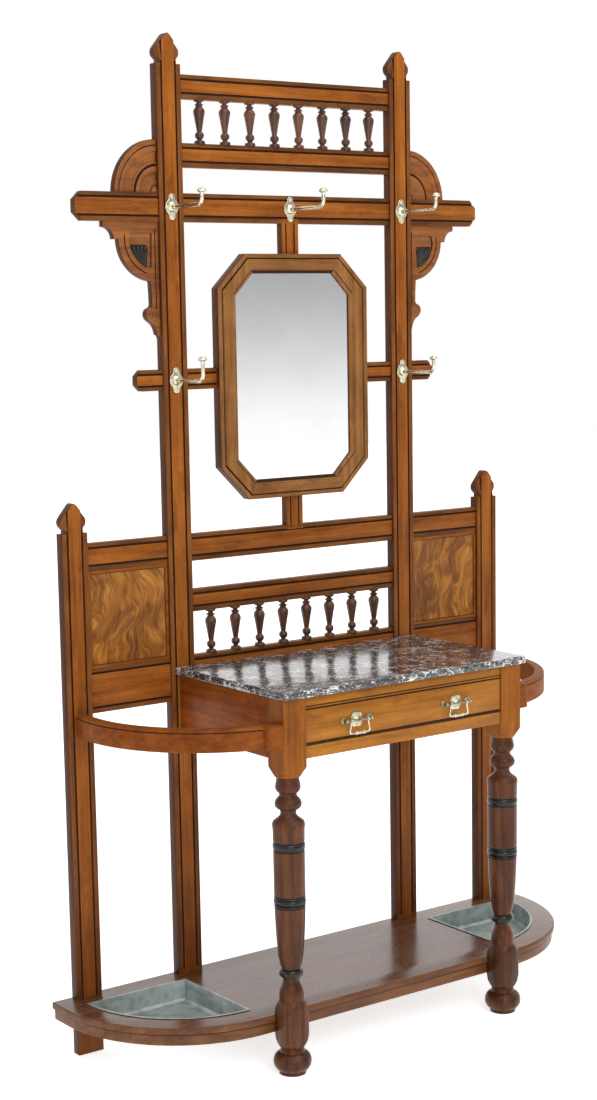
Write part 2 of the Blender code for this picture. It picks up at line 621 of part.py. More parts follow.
KNUCKLE_FRONT, KNUCKLE_BACK, KNUCKLE_X, KNUCKLE_TOP = -0.3835, -0.344, 0.342, 0.743
KNUCKLE_BOTTOM, KNUCKLE_ROUND = RING_BOTTOM - 0.0005, 0.008
STILE_PIN_HALF, STILE_PIN_DEPTH, STILE_PIN_BOTTOM, STILE_PIN_TOP = 0.006, 0.008, 0.703, 0.727
LEG_PIN_LENGTH, LEG_PIN_FRONT, LEG_PIN_BACK, LEG_PIN_BOTTOM, LEG_PIN_TOP = 0.012, -0.361, -0.351, 0.695, 0.722
PIN_ROOT = 0.006


def ring_angle(radius, y):
    """How far round a ring's curve lies the point at this depth."""
    return math.degrees(math.asin((y - RING_Y) / radius))


for side, hand in SIDES:
    outer_end = ring_angle(RING_OUTER, -GAP)
    inner_end = ring_angle(RING_INNER, -GAP)
    start_x = BLOCK_OUTER + GAP - RING_X
    outer_start = -math.degrees(math.acos(start_x / RING_OUTER))
    inner_start = -math.degrees(math.acos(start_x / RING_INNER))
    outline = arc((RING_X, RING_Y), RING_OUTER, outer_start, outer_end, 14)
    outline += arc((RING_X, RING_Y), RING_INNER, inner_end, inner_start, 14)
    ring = flat_board(
        f"umbrella_rail_{hand}", [mirrored(outline, side)], RING_BOTTOM, RING_TOP, WALNUT, upright=False
    )
    half = (KNUCKLE_BACK - KNUCKLE_FRONT) / 2
    middle = (KNUCKLE_X, (KNUCKLE_FRONT + KNUCKLE_BACK) / 2)
    start = (BLOCK_OUTER + GAP, KNUCKLE_BACK)
    knuckle = [(start[0], KNUCKLE_FRONT)] + arc(middle, (KNUCKLE_ROUND, half), -90, 90, 6) + [start]
    join(ring, flat_board("knuckle", [mirrored(knuckle, side)], KNUCKLE_BOTTOM, KNUCKLE_TOP, upright=False))
    low_x, high_x = sorted((side * (OUTER_X - STILE_PIN_HALF), side * (OUTER_X + STILE_PIN_HALF)))
    low = (low_x, -PIN_ROOT, STILE_PIN_BOTTOM)
    tenon(ring, [outer_stiles[side]], low, (high_x, STILE_PIN_DEPTH, STILE_PIN_TOP))
    low_x, high_x = sorted((side * (BLOCK_OUTER - LEG_PIN_LENGTH), side * (BLOCK_OUTER + PIN_ROOT)))
    tenon(ring, [legs[side]], (low_x, LEG_PIN_FRONT, LEG_PIN_BOTTOM), (high_x, LEG_PIN_BACK, LEG_PIN_TOP))


# Shelf and drip trays

def bowed_outline(inset, back):
    """The shelf's plan: straight at the back and front, a quarter round at each end."""
    radius = SHELF_RADIUS - inset
    right = [(SHELF_X + radius, back)] + arc((SHELF_X, SHELF_Y), radius, 0, -90, 14)
    return right[::-1] + mirrored(right, -1)


def quadrant(inset, side):
    """A tray's plan, drawn in on all sides by the inset."""
    radius = TRAY_RADIUS - inset
    slip = math.degrees(math.asin(inset / radius))
    corner = [(TRAY_X + inset, SHELF_Y - inset)]
    return mirrored(corner + arc((TRAY_X, SHELF_Y), radius, -slip, slip - 90, 12), side)


APRON_INSET, APRON_LAP = 0.008, 0.004
SHELF_TENON_HALF, TENON_INTO_LEG, TENON_ROOT, TENON_BOTTOM, TENON_TOP = 0.010, 0.010, 0.006, 0.095, 0.105
STUB_FRONT, STUB_BACK, STUB_DEPTH, STUB_ROOT = 0.008, 0.016, 0.008, 0.01
HOLE_INSET, PAN_INSET, RIM_STEP, BELOW_SHELF, ABOVE_SHELF = 0.0025, 0.0032, 0.0005, 0.05, 0.15

shelf = flat_board(
    "shelf", [bowed_outline(0, SHELF_BACK)], SHELF_EDGE, SHELF_TOP, WALNUT, upright=False
)
apron = flat_board(
    "apron", [bowed_outline(APRON_INSET, SHELF_BACK)], SHELF_BOTTOM, SHELF_EDGE + APRON_LAP, upright=False
)
join(shelf, apron)

for side, hand in SIDES:
    low_x, high_x = sorted((side * (OUTER_FACE - GAP), side * (OUTER_X + STILE_WIDTH / 2 + GAP)))
    notch(shelf, (low_x, -GAP, 0), (high_x, 0.05, 0.2))
    low_x, high_x = sorted((side * (BLOCK_INNER - GAP), side * (BLOCK_OUTER + GAP)))
    notch(shelf, (low_x, -0.4, 0), (high_x, BLOCK_BACK + GAP, 0.2))
    low_x, high_x = sorted((side * (LEG_X - SHELF_TENON_HALF), side * (LEG_X + SHELF_TENON_HALF)))
    low = (low_x, BLOCK_BACK - TENON_INTO_LEG, TENON_BOTTOM)
    tenon(shelf, [legs[side]], low, (high_x, BLOCK_BACK + TENON_ROOT, TENON_TOP))
    low_x, high_x = sorted((side * (INNER_X - SHELF_TENON_HALF), side * (INNER_X + SHELF_TENON_HALF)))
    low = (low_x, STUB_FRONT, SHELF_TOP - STUB_DEPTH)
    tenon(inner_stiles[side], [shelf], low, (high_x, STUB_BACK, SHELF_TOP + STUB_ROOT))

    hole = flat_board(
        f"tray_hole_{hand}", [quadrant(HOLE_INSET, side)], BELOW_SHELF, ABOVE_SHELF, upright=False
    )
    cut(shelf, hole)
    corner = (side * TRAY_X, SHELF_Y, SHELF_TOP + GAP)
    rim_top = SHELF_TOP + TRAY_RIM
    tray = flat_board(
        f"drip_tray_{hand}", [quadrant(0, side)], SHELF_TOP + GAP, rim_top, ZINC, upright=False, origin=corner
    )
    pan = flat_board(
        "pan", [quadrant(PAN_INSET, side)], TRAY_FLOOR - TRAY_WALL, rim_top - RIM_STEP,
        upright=False, origin=corner,
    )
    hollow = flat_board(
        "hollow", [quadrant(PAN_INSET + TRAY_WALL, side)], TRAY_FLOOR, ABOVE_SHELF, upright=False, origin=corner
    )
    join(tray, pan)
    cut(tray, hollow)


# Turned pieces are smooth between their sharp edges.
for obj in PARTS.objects:
    if obj.type == "MESH" and obj.name.split("_")[0] in ("hook", "bail", "umbrella"):
        obj.data.shade_smooth()
        obj.data.set_sharp_from_angle(angle=math.radians(35))
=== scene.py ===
# Walnut hall tree: mirror, brass hooks, marble top over a drawer, umbrella rails and drip trays.
import math

import bmesh
import bpy
from mathutils import Matrix, Vector


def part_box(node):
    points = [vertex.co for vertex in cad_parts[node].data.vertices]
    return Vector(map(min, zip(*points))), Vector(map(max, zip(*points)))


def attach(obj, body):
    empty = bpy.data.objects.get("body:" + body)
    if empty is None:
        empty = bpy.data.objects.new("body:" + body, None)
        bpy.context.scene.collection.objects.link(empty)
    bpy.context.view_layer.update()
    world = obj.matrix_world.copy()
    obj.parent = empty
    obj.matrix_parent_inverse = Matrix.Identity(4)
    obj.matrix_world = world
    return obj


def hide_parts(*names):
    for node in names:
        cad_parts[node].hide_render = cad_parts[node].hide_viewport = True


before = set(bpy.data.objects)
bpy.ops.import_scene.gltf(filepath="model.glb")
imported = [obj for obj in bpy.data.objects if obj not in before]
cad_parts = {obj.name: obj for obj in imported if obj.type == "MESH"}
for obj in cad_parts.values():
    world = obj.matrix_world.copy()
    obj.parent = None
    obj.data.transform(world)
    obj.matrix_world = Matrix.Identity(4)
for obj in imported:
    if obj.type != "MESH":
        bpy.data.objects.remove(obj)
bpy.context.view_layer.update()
hands = ((-1, "Left"), (1, "Right"))
print("frame loaded")


# Room, light and camera

view = {
    "at": (-2.5692, -3.3319, 1.5587),
    "yaw": 0.6315, "pitch": 0.1439, "roll": -0.0167,
    "lens": 64.37, "shiftX": -0.0005, "shiftY": 0.0432,
}
room = {
    "floorSize": 30, "floorGlow": 0.72,
    "lamps": (  # name, place, aimed at, size, watts
        ("key", (-0.9, -3.9, 3.3), (0, 0, 1.0), 2.0, 54),
        ("front", (-2.2, -4.2, 1.4), (0, 0, 0.8), 2.4, 26),
        ("top", (0.2, -0.9, 4.4), (0, 0, 0.8), 2.4, 40),
    ),
    # a grey band lies round the white sky: where it starts, is full, fades and ends
    "band": (-0.095, 0.04, 0.12, 0.5), "bandGrey": 0.68, "bandInGloss": 0.85, "glossLight": 1.25,
    "frontHalf": (0.3, -0.3), "leftToRight": (-0.9, 0.5), "leftLight": 0.56, "rightExtra": 0.25,
}


def tone(*screen):
    # a screen colour, as the linear colour that the shaders take
    return tuple(
        c / 255 / 12.92 if c < 11 else ((c / 255 + 0.055) / 1.055) ** 2.4 for c in screen
    ) + (1,)


def aim(thing, target):
    thing.rotation_euler = (Vector(target) - thing.location).to_track_quat("-Z", "Y").to_euler()


bpy.ops.object.camera_add(location=view["at"])
camera = bpy.context.object
ahead = Vector((
    math.sin(view["yaw"]) * math.cos(view["pitch"]),
    math.cos(view["yaw"]) * math.cos(view["pitch"]),
    -math.sin(view["pitch"]),
))
level = Vector((math.cos(view["yaw"]), -math.sin(view["yaw"]), 0))
upright = level.cross(ahead)
tiltedRight = level * math.cos(view["roll"]) + upright * math.sin(view["roll"])
tiltedUp = upright * math.cos(view["roll"]) - level * math.sin(view["roll"])
camera.rotation_euler = Matrix((tiltedRight, tiltedUp, -ahead)).transposed().to_euler()
camera.data.sensor_width = 36
camera.data.lens = view["lens"]
camera.data.shift_x, camera.data.shift_y = view["shiftX"], view["shiftY"]
bpy.context.scene.camera = camera
bpy.context.scene.view_settings.view_transform = "Standard"

for name, place, target, size, watts in room["lamps"]:
    bpy.ops.object.light_add(type="AREA", location=place)
    lamp = bpy.context.object
    lamp.name = name + "Lamp"
    lamp.data.size = size
    lamp.data.energy = watts
    aim(lamp, target)


# Shader sheets

class Wire:
    # one output on a shader sheet: arithmetic on it adds Math nodes
    def __init__(self, sheet, socket):
        self.sheet, self.socket = sheet, socket

    @staticmethod
    def make(sheet, kind, settings=None, values=None, output=0):
        node = sheet.nodes.new(kind)
        for key, value in (settings or {}).items():
            if key == "stops":
                while len(node.color_ramp.elements) < len(value):
                    node.color_ramp.elements.new(0.5)
                for stop, (at, colour) in zip(node.color_ramp.elements, value):
                    stop.position, stop.color = at, colour
            else:
                setattr(node, key, value)
        for key, value in (values or {}).items():
            if isinstance(value, Wire):
                sheet.links.new(value.socket, node.inputs[key])
            else:
                node.inputs[key].default_value = value
        return Wire(sheet, node.outputs[output])

    def maths(self, operation, other, swapped=False):
        first, second = (other, self) if swapped else (self, other)
        return Wire.make(self.sheet, "ShaderNodeMath", {"operation": operation}, {0: first, 1: second})

    def __add__(self, other):
        return self.maths("ADD", other)

    def __sub__(self, other):
        return self.maths("SUBTRACT", other)

    def __mul__(self, other):
        return self.maths("MULTIPLY", other)

    def __rsub__(self, other):
        return self.maths("SUBTRACT", other, swapped=True)

    __radd__, __rmul__ = __add__, __mul__

    def between(self, low, high):
        # 0 at low and 1 at high, held at both ends
        return Wire.make(
            self.sheet, "ShaderNodeMapRange", {"interpolation_type": "SMOOTHSTEP"},
            {"Value": self, "From Min": low, "From Max": high},
        )

    def tint(self, first, second):
        # two colours mixed by this factor
        return Wire.make(
            self.sheet, "ShaderNodeMix", {"data_type": "RGBA"}, {0: self, 6: first, 7: second}, 2
        )


class Finish:
    # a material, its shader and the place on the piece that its patterns follow
    def __init__(self, name, **fixed):
        self.material = bpy.data.materials.new(name)
        self.material.use_nodes = True
        self.sheet = self.material.node_tree
        self.shader = self.sheet.nodes["Principled BSDF"]
        for socket, value in fixed.items():
            self.shader.inputs[socket.replace("_", " ")].default_value = value
        self.place = Wire.make(self.sheet, "ShaderNodeTexCoord", output="Object")
        finishes[name] = self.material

    def placed(self, size, shift=(0, 0, 0), turn=(0, 0, 0), source=None):
        # the place moved, turned and scaled, so that blobs of one unit come out this big
        sizes = size if isinstance(size, tuple) else (size,) * 3
        return Wire.make(self.sheet, "ShaderNodeMapping", {}, {
            "Vector": source or self.place, "Location": shift, "Rotation": turn,
            "Scale": tuple(1 / s for s in sizes),
        })

    def noise(self, size, detail=3.0, roughness=0.5, distortion=0.0, shift=(0, 0, 0), turn=(0, 0, 0),
              source=None, output=0):
        return Wire.make(self.sheet, "ShaderNodeTexNoise", {}, {
            "Vector": self.placed(size, shift, turn, source), "Scale": 1.0,
            "Detail": detail, "Roughness": roughness, "Distortion": distortion,
        }, output)

    def swayed(self, size, amount, shift=(0, 0, 0)):
        # the place pushed about by slow noise, so that whatever follows it swirls
        push = self.noise(size, 2.0, shift=shift, output="Color")
        return Wire.make(
            self.sheet, "ShaderNodeVectorMath", {"operation": "MULTIPLY_ADD"},
            {0: push, 1: (amount, amount, amount), 2: self.place},
        )

    def ramp(self, factor, *stops):
        return Wire.make(self.sheet, "ShaderNodeValToRGB", {"stops": stops}, {"Fac": factor})

    def feed(self, colour, roughness, bumps=None, strength=0.3, metallic=None):
        for socket, wire in (("Base Color", colour), ("Roughness", roughness), ("Metallic", metallic)):
            if wire is not None:
                self.sheet.links.new(wire.socket, self.shader.inputs[socket])
        if bumps is not None:
            bump = Wire.make(
                self.sheet, "ShaderNodeBump", {}, {"Strength": strength, "Distance": 0.001, "Height": bumps}
            )
            self.sheet.links.new(bump.socket, self.shader.inputs["Normal"])


finishes = {}


walnutFigure = {  # how big each pattern is across the grain and along it
    "figure": (0.015, 0.34), "fibre": (0.0015, 0.06), "pores": (0.0008, 0.012), "grime": (0.03, 0.11),
    "patina": 0.14, "rub": 0.035,
    "footDarkening": (0.22, 0.95),  # full below the first height and gone above the second
}


def darker(colour, share):
    return tuple(min(1, c * share) for c in colour[:3]) + (1,)


def walnut(name, grain, dark, middle, light, polish=0.40, shift=0.0, contrast=1.0, coat=0.03,
           gloss=0.10, foot=0.0):
    # french-polished walnut: broad figure, fine fibres, open pores and a worn, uneven polish
    wood = Finish(name, Coat_Weight=coat, Coat_Roughness=0.18, Specular_IOR_Level=gloss)
    dark, middle, light = tone(*dark), tone(*middle), tone(*light)
    offset = (shift, shift * 1.7, shift * 0.6)

    def along(pattern):
        across, length = walnutFigure[pattern]
        return tuple(length if axis == grain else across for axis in "XYZ")

    figure = wood.noise(along("figure"), 3.0, 0.5, 0.6, offset)
    fibre = wood.noise(along("fibre"), 2.5, 0.6, 0.2, offset)
    pores = wood.noise(along("pores"), 1.5, 0.5, 0.0, offset).between(0.60, 0.72)
    patina = wood.noise(walnutFigure["patina"], 3, 0.55, 0.3, offset)
    swirl = wood.swayed(0.2, 0.04, offset)
    grime = wood.noise(along("grime"), 4, 0.65, 0.5, offset, source=swirl).between(0.50, 0.74)
    rub = wood.noise(walnutFigure["rub"], 3, 0.6, 0.4, offset).between(0.58, 0.78)
    spread = (figure - 0.5) * (0.95 * contrast) + (fibre - 0.5) * (0.55 * contrast) + 0.5
    colour = wood.ramp(spread + (patina - 0.5) * 0.8, (0.12, dark), (0.48, middle), (0.86, light))
    colour = (pores * 0.5).tint(colour, darker(dark, 0.42))
    colour = (rub * 0.16).tint(colour, darker(light, 1.25))
    colour = (grime * (0.55 * contrast)).tint(colour, darker(dark, 0.8))
    if foot:  # darker towards the floor
        height = Wire.make(wood.sheet, "ShaderNodeSeparateXYZ", {}, {"Vector": wood.place}, 2)
        lowDarkening = 1 - (height + patina * 0.3).between(*walnutFigure["footDarkening"])
        colour = (lowDarkening * foot).tint(colour, darker(dark, 0.9))
    roughness = fibre * 0.16 + patina * 0.22 + pores * 0.2 + (polish - 0.19)
    wood.feed(colour, roughness, fibre * 0.25 - pores * 0.6)


for name, grain, dark, middle, light, rest in (
    ("walnutUpright", "Z", (98, 50, 14), (140, 78, 24), (166, 98, 34), {"foot": 0.5}),
    ("walnutEdge", "Z", (76, 40, 16), (112, 64, 26), (142, 86, 38), {"shift": 0.31, "foot": 0.4}),
    ("walnutRail", "X", (94, 46, 12), (138, 76, 22), (166, 98, 34), {"shift": 0.57}),
    ("walnutStrip", "X", (62, 34, 12), (100, 58, 22), (134, 82, 34), {"shift": 0.77}),
    # walnut darkened for side faces, thicknesses and linings: painted shade where those faces turn from the
    # light
    ("walnutSide", "Z", (46, 22, 9), (76, 38, 15), (106, 58, 24), {"shift": 0.83}),
    ("walnutEnd", "Y", (48, 25, 12), (76, 42, 20), (102, 60, 30), {"polish": 0.5, "shift": 0.2, "coat": 0}),
    ("walnutDrawer", "X", (118, 68, 14), (154, 95, 22), (176, 116, 34), {"shift": 1.31, "gloss": 0.18}),
    ("walnutCase", "Y", (92, 41, 10), (130, 64, 15), (160, 88, 25), {"shift": 0.44}),
    ("walnutLeg", "Z", (44, 23, 12), (78, 43, 23), (110, 66, 38),
     {"polish": 0.24, "shift": 0.71, "coat": 0.10, "gloss": 0.12}),
    ("walnutBlock", "Z", (98, 52, 12), (136, 76, 20), (160, 96, 30), {"shift": 0.93}),
    ("walnutRing", "X", (88, 42, 14), (128, 68, 24), (156, 90, 36),
     {"polish": 0.46, "shift": 0.15, "contrast": 0.7, "coat": 0, "gloss": 0.06}),
    # the shelf's top: walnut greyed towards the sheen of its polish, a painted sheen over the real gloss
    ("walnutShelf", "X", (66, 38, 22), (96, 60, 38), (122, 82, 54),
     {"polish": 0.25, "shift": 0.66, "coat": 0.3, "gloss": 0.35}),
    ("walnutShelfEdge", "X", (66, 34, 16), (102, 60, 30), (134, 86, 46), {"shift": 0.27, "gloss": 0.25}),
    ("walnutSpindle", "Z", (40, 20, 12), (74, 41, 25), (114, 68, 43),
     {"polish": 0.24, "shift": 0.5, "coat": 0.3, "gloss": 0.2}),
    ("walnutFrame", "Z", (86, 52, 22), (128, 84, 42), (156, 108, 60), {"shift": 0.39}),
    ("walnutFrameLevel", "X", (86, 52, 22), (128, 84, 42), (156, 108, 60), {"shift": 0.39}),
    ("walnutCarved", "X", (84, 44, 16), (124, 70, 26), (152, 92, 38),
     {"shift": 1.1, "coat": 0.12, "gloss": 0.22}),
    ("deal", "Y", (138, 102, 60), (176, 138, 88), (200, 166, 116),
     {"polish": 0.62, "shift": 0.35, "contrast": 0.7, "coat": 0}),
    ("dealBacking", "Z", (138, 102, 60), (176, 138, 88), (200, 166, 116),
     {"polish": 0.62, "shift": 0.35, "contrast": 0.7, "coat": 0}),
):
    walnut(name, grain, dark, middle, light, **rest)


def grooveStainAndShade():
    # the dull dark stain run into grooves and quirks, made darker to stand in for their shade: partly real
    # stain, partly painted shade
    wood = Finish("grooveStainAndShade", Specular_IOR_Level=0.1)
    grain = wood.noise((0.006, 0.006, 0.02), 3, 0.6)
    colour = wood.ramp(grain, (0.3, tone(34, 18, 9)), (0.7, tone(58, 32, 15)))
    wood.feed(colour, grain * 0.2 + 0.5, grain, 0.2)


def ebonised():
    # black-stained wood under polish, rubbed brown here and there
    wood = Finish("ebonised", Coat_Weight=0.35, Coat_Roughness=0.06, Specular_IOR_Level=0.2)
    grain = wood.noise((0.004, 0.004, 0.03), 3, 0.6)
    wear = wood.noise(0.02, 3, 0.6).between(0.60, 0.78)
    colour = wood.ramp(grain, (0.3, tone(7, 8, 8)), (0.7, tone(20, 20, 18)))
    colour = (wear * 0.4).tint(colour, tone(60, 38, 24))
    wood.feed(colour, grain * 0.2 + 0.18, grain, 0.15)


def burr():
    # flame veneer: fine flow lines that sweep round darker swirls, in gold and brown
    wood = Finish("burrVeneer", Coat_Weight=0.08, Coat_Roughness=0.14, Specular_IOR_Level=0.14)
    swirl = wood.swayed(0.13, 0.15, (0.3, 0.1, 0.7))
    flow = wood.noise((0.013, 0.04, 0.13), 4, 0.6, 0.35, (1.1, 0, 0.4), (0, 0.55, 0), swirl)
    lines = wood.noise((0.0022, 0.02, 0.05), 3, 0.55, 0.25, (0.5, 0, 1.4), (0, 0.55, 0), swirl)
    clouds = wood.noise((0.06, 0.06, 0.09), 3, 0.5, 0.8, (0.2, 0, 0.6), (0, 0.5, 0), swirl)
    knots = clouds.between(0.56, 0.40)
    mixed = flow * 0.62 + (lines - 0.5) * 0.50 + clouds * 0.40
    colour = wood.ramp(
        mixed, (0.36, tone(96, 52, 14)), (0.47, tone(128, 76, 22)),
        (0.56, tone(152, 95, 32)), (0.70, tone(178, 122, 50)),
    )
    dark = wood.ramp(lines, (0.38, tone(70, 38, 14)), (0.62, tone(112, 66, 26)))
    wood.feed((knots * 0.42).tint(colour, dark), flow * 0.12 + 0.28, lines, 0.06)


def marbleTop():
    # charcoal limestone crowded with white shell flecks, and thin veins
    stone = Finish("marbleStone", Coat_Weight=0.45, Coat_Roughness=0.09)
    cloud = stone.noise(0.10, 4, 0.6, 0.6)
    crowd = stone.noise(0.04, 3, 0.6, 0.8, (2, 1, 0))
    flake = stone.noise((0.013, 0.006, 0.006), 5, 0.68, 1.2, (0.4, 0.9, 0.2), (0, 0, 0.2))
    grit = stone.noise((0.006, 0.0035, 0.0035), 4, 0.7, 0.6, (0.2, 0.7, 1.2))
    veins = stone.noise((0.09, 0.05, 0.05), 5, 0.6, 2.4, (0.7, 0.2, 0))
    vein = 1 - ((veins - 0.5).maths("ABSOLUTE", 0.0)).between(0.0, 0.014)
    ground = stone.ramp(cloud, (0.3, tone(30, 30, 31)), (0.55, tone(48, 47, 47)), (0.8, tone(74, 70, 67)))
    flecks = (flake + (crowd - 0.5) * 0.5 + (grit - 0.5) * 0.3).between(0.55, 0.60)
    crumbs = (grit + (crowd - 0.5) * 0.5).between(0.55, 0.66)
    colour = (crumbs * 0.7).tint(ground, tone(142, 142, 142))
    colour = (vein * 0.5).tint(colour, tone(176, 174, 172))
    colour = (flecks * 0.9).tint(colour, tone(222, 222, 222))
    stone.feed(colour, cloud * 0.1 + 0.16)


def brassFinish(name, dark, middle, light, hollow):
    # old brass, pale where it is handled and brown in the hollows
    metal = Finish(name, Metallic=1.0)
    tarnish = metal.noise(0.006, 4, 0.65, 0.5)
    spots = metal.noise(0.0016, 3, 0.6).between(0.56, 0.70)
    colour = metal.ramp(tarnish, (0.3, dark), (0.5, middle), (0.75, light))
    colour = (spots * 0.5).tint(colour, hollow)
    metal.feed(colour, tarnish * 0.18 + spots * 0.15 + 0.18, tarnish, 0.12)


def zincFinish():
    # galvanised sheet: dull spangle, water marks and a darker bloom in the corners
    metal = Finish("galvanised")
    patch = metal.placed(0.016, (0.3, 0.1, 0.2))
    spangle = Wire.make(metal.sheet, "ShaderNodeTexVoronoi", {}, {"Vector": patch, "Scale": 1.0})
    bloom = metal.noise(0.06, 4, 0.6, 0.8)
    marks = metal.noise(0.012, 4, 0.7, 1.0).between(0.55, 0.72)
    colour = metal.ramp(
        bloom + (spangle - 0.4) * 0.22,
        (0.25, tone(118, 128, 126)), (0.5, tone(156, 166, 164)), (0.8, tone(188, 196, 194)),
    )
    colour = (marks * 0.3).tint(colour, tone(196, 202, 200))
    bumps = bloom * 0.5 + spangle * 0.2
    metal.feed(colour, bloom * 0.25 + marks * 0.12 + 0.34, bumps, 0.12, bloom * 0.3 + 0.5)


def silvering():
    # old mirror plate: clear silvering with the faintest haze and specks
    glass = Finish("silvering", Metallic=1.0)
    haze = glass.noise(0.12, 4, 0.6, 0.5)
    specks = glass.noise(0.0022, 2, 0.5).between(0.76, 0.84)
    colour = glass.ramp(haze, (0.3, tone(238, 240, 242)), (0.7, tone(247, 248, 249)))
    colour = (specks * 0.25).tint(colour, tone(120, 112, 100))
    glass.feed(colour, haze * 0.02 + specks * 0.1 + 0.008)


for makeFinish in (grooveStainAndShade, ebonised, burr, marbleTop, zincFinish, silvering):
    makeFinish()
brassFinish("palebrass", tone(156, 146, 116), tone(212, 206, 182), tone(238, 234, 218), tone(96, 82, 54))
brassFinish("agedBrass", tone(92, 84, 62), tone(150, 142, 116), tone(204, 198, 174), tone(52, 44, 30))


def floorAndSky():
    bpy.ops.mesh.primitive_plane_add(size=room["floorSize"], location=(0, 0, 0))
    floor = bpy.context.object
    floor.name = "studioFloor"
    paper = Finish("paperFloor", Specular_IOR_Level=0.1)
    mottle = paper.noise(0.8, 3)
    colour = paper.ramp(mottle, (0.3, tone(238, 238, 238)), (0.7, tone(246, 246, 246)))
    paper.feed(colour, mottle * 0.05 + 0.8)
    paper.shader.inputs["Emission Color"].default_value = (1, 1, 1, 1)
    paper.shader.inputs["Emission Strength"].default_value = room["floorGlow"]
    floor.data.materials.append(finishes["paperFloor"])

    world = bpy.data.worlds.new("studioSky")
    bpy.context.scene.world = world
    world.use_nodes = True
    sheet = world.node_tree
    background = sheet.nodes["Background"]
    place = Wire.make(sheet, "ShaderNodeTexCoord", output="Generated")
    across, depth, height = (
        Wire.make(sheet, "ShaderNodeSeparateXYZ", {}, {"Vector": place}, axis) for axis in range(3)
    )
    starts, full, fades, ends = room["band"]
    band = height.between(starts, full) * (1 - height.between(fades, ends))
    sideLight = across.between(*room["leftToRight"]) * room["rightExtra"] + room["leftLight"]
    roomLight = (1 - band * room["bandGrey"]) * sideLight
    seen = Wire.make(sheet, "ShaderNodeLightPath", output="Is Camera Ray")
    glossy = Wire.make(sheet, "ShaderNodeLightPath", output="Is Glossy Ray")
    glossLight = room["glossLight"] - band * depth.between(*room["frontHalf"]) * room["bandInGloss"]
    strength = seen + (1 - seen) * (glossy * glossLight + (1 - glossy) * roomLight)
    sheet.links.new(strength.socket, background.inputs["Strength"])
    background.inputs["Color"].default_value = (1, 1, 1, 1)


floorAndSky()
print("room and finishes ready")


# Bench work

near, facing = 0.001, 0.9  # how close a place is to a face, and how squarely a face looks along an axis


def front(at, normal):
    return normal.y < -facing


def rear(at, normal):
    return normal.y > facing


def above(at, normal):
    return normal.z > facing


def below(at, normal):
    return normal.z < -facing


def start():
    # object mode with nothing selected
    if bpy.context.object and bpy.context.object.mode == "EDIT":
        bpy.ops.object.mode_set(mode="OBJECT")
    bpy.ops.object.select_all(action="DESELECT")


def choose(piece):
    start()
    piece.select_set(True)
    bpy.context.view_layer.objects.active = piece


def edit(piece):
    choose(piece)
    bpy.ops.object.mode_set(mode="EDIT")
    bpy.ops.mesh.select_mode(type="FACE")
    bpy.ops.mesh.select_all(action="DESELECT")


def finishEdit():
    bpy.ops.object.mode_set(mode="OBJECT")


def pickAll():
    bpy.ops.mesh.select_all(action="SELECT")


def pick(piece, test, kind="FACE"):
    # in edit mode, selects faces by centre and normal, edges by their two ends, or vertices by place
    bpy.ops.mesh.select_mode(type=kind)
    bpy.ops.mesh.select_all(action="DESELECT")
    shape = bmesh.from_edit_mesh(piece.data)
    if kind == "FACE":
        found = [f for f in shape.faces if test(f.calc_center_median(), f.normal)]
    elif kind == "EDGE":
        found = [e for e in shape.edges if test(e.verts[0].co, e.verts[1].co)]
    else:
        found = [v for v in shape.verts if test(v.co)]
    for element in found:
        element.select_set(True)
    shape.select_flush_mode()
    bmesh.update_edit_mesh(piece.data)
    return len(found)


def moveBy(shift):
    bpy.ops.transform.translate(value=shift)


def extrude(shift):
    bpy.ops.mesh.extrude_region_move(TRANSFORM_OT_translate={"value": shift})


def inset(width):
    bpy.ops.mesh.inset(thickness=width, use_even_offset=True)


def bevelled(piece, test, offset, segments, kind="EDGE"):
    pick(piece, test, kind)
    bpy.ops.mesh.bevel(offset=offset, segments=segments)


def scribe(piece, axis, places, test):
    # a line at each place along the axis, cut across the faces that pass the test
    square = Vector(letter == axis for letter in "XYZ")
    for place in places:
        pick(piece, test)
        bpy.ops.mesh.bisect(plane_co=square * place, plane_no=square)


def chain(name, points):
    # a line of vertices through the points, left in edit mode
    start()
    bpy.ops.mesh.primitive_plane_add(size=0.01, location=(0, 0, 0))
    piece = bpy.context.object
    piece.name = name
    bpy.ops.object.mode_set(mode="EDIT")
    bpy.ops.mesh.select_mode(type="VERT")
    pickAll()
    bpy.ops.mesh.merge(type="CENTER")
    moveBy(points[0])
    for here, there in zip(points, points[1:]):
        bpy.ops.mesh.extrude_vertices_move(TRANSFORM_OT_translate={"value": Vector(there) - Vector(here)})
    pickAll()
    return piece


def sheetOf(name, points):
    # the face inside the points, left selected in edit mode
    piece = chain(name, points)
    bpy.ops.mesh.edge_face_add()
    pickAll()
    return piece


def turnOut():
    pickAll()
    bpy.ops.mesh.normals_make_consistent(inside=False)


def closeShape(piece):
    pickAll()
    bpy.ops.mesh.remove_doubles(threshold=0.00001)
    turnOut()
    finishEdit()
    return piece


def board(name, outline, sweep):
    # a board cut to an outline and given its thickness
    piece = sheetOf(name, outline)
    extrude(sweep)
    return closeShape(piece)


def upright2d(points, y):
    return [(x, y, z) for x, z in points]


def flat2d(points, z):
    return [(x, y, z) for x, y in points]


def block(name, low, high):
    start()
    low, high = Vector(low), Vector(high)
    bpy.ops.mesh.primitive_cube_add(size=1, location=(low + high) / 2, scale=high - low)
    piece = bpy.context.object
    piece.name = name
    bpy.ops.object.transform_apply(location=True, rotation=True, scale=True)
    return piece


turningAxes = {"X": ((0, 0, 1), (1, 0, 0)), "Y": ((1, 0, 0), (0, 1, 0)), "Z": ((1, 0, 0), (0, 0, 1))}


def turned(name, profile, centre, axis="Z", steps=32):
    # radius and distance along the axis, as the lathe cuts them
    out, along = (Vector(v) for v in turningAxes[axis])
    points = [Vector(centre) + out * radius + along * distance for radius, distance in profile]
    piece = chain(name, points)
    bpy.ops.mesh.spin(steps=steps, angle=math.tau, center=centre, axis=along)
    return closeShape(piece)


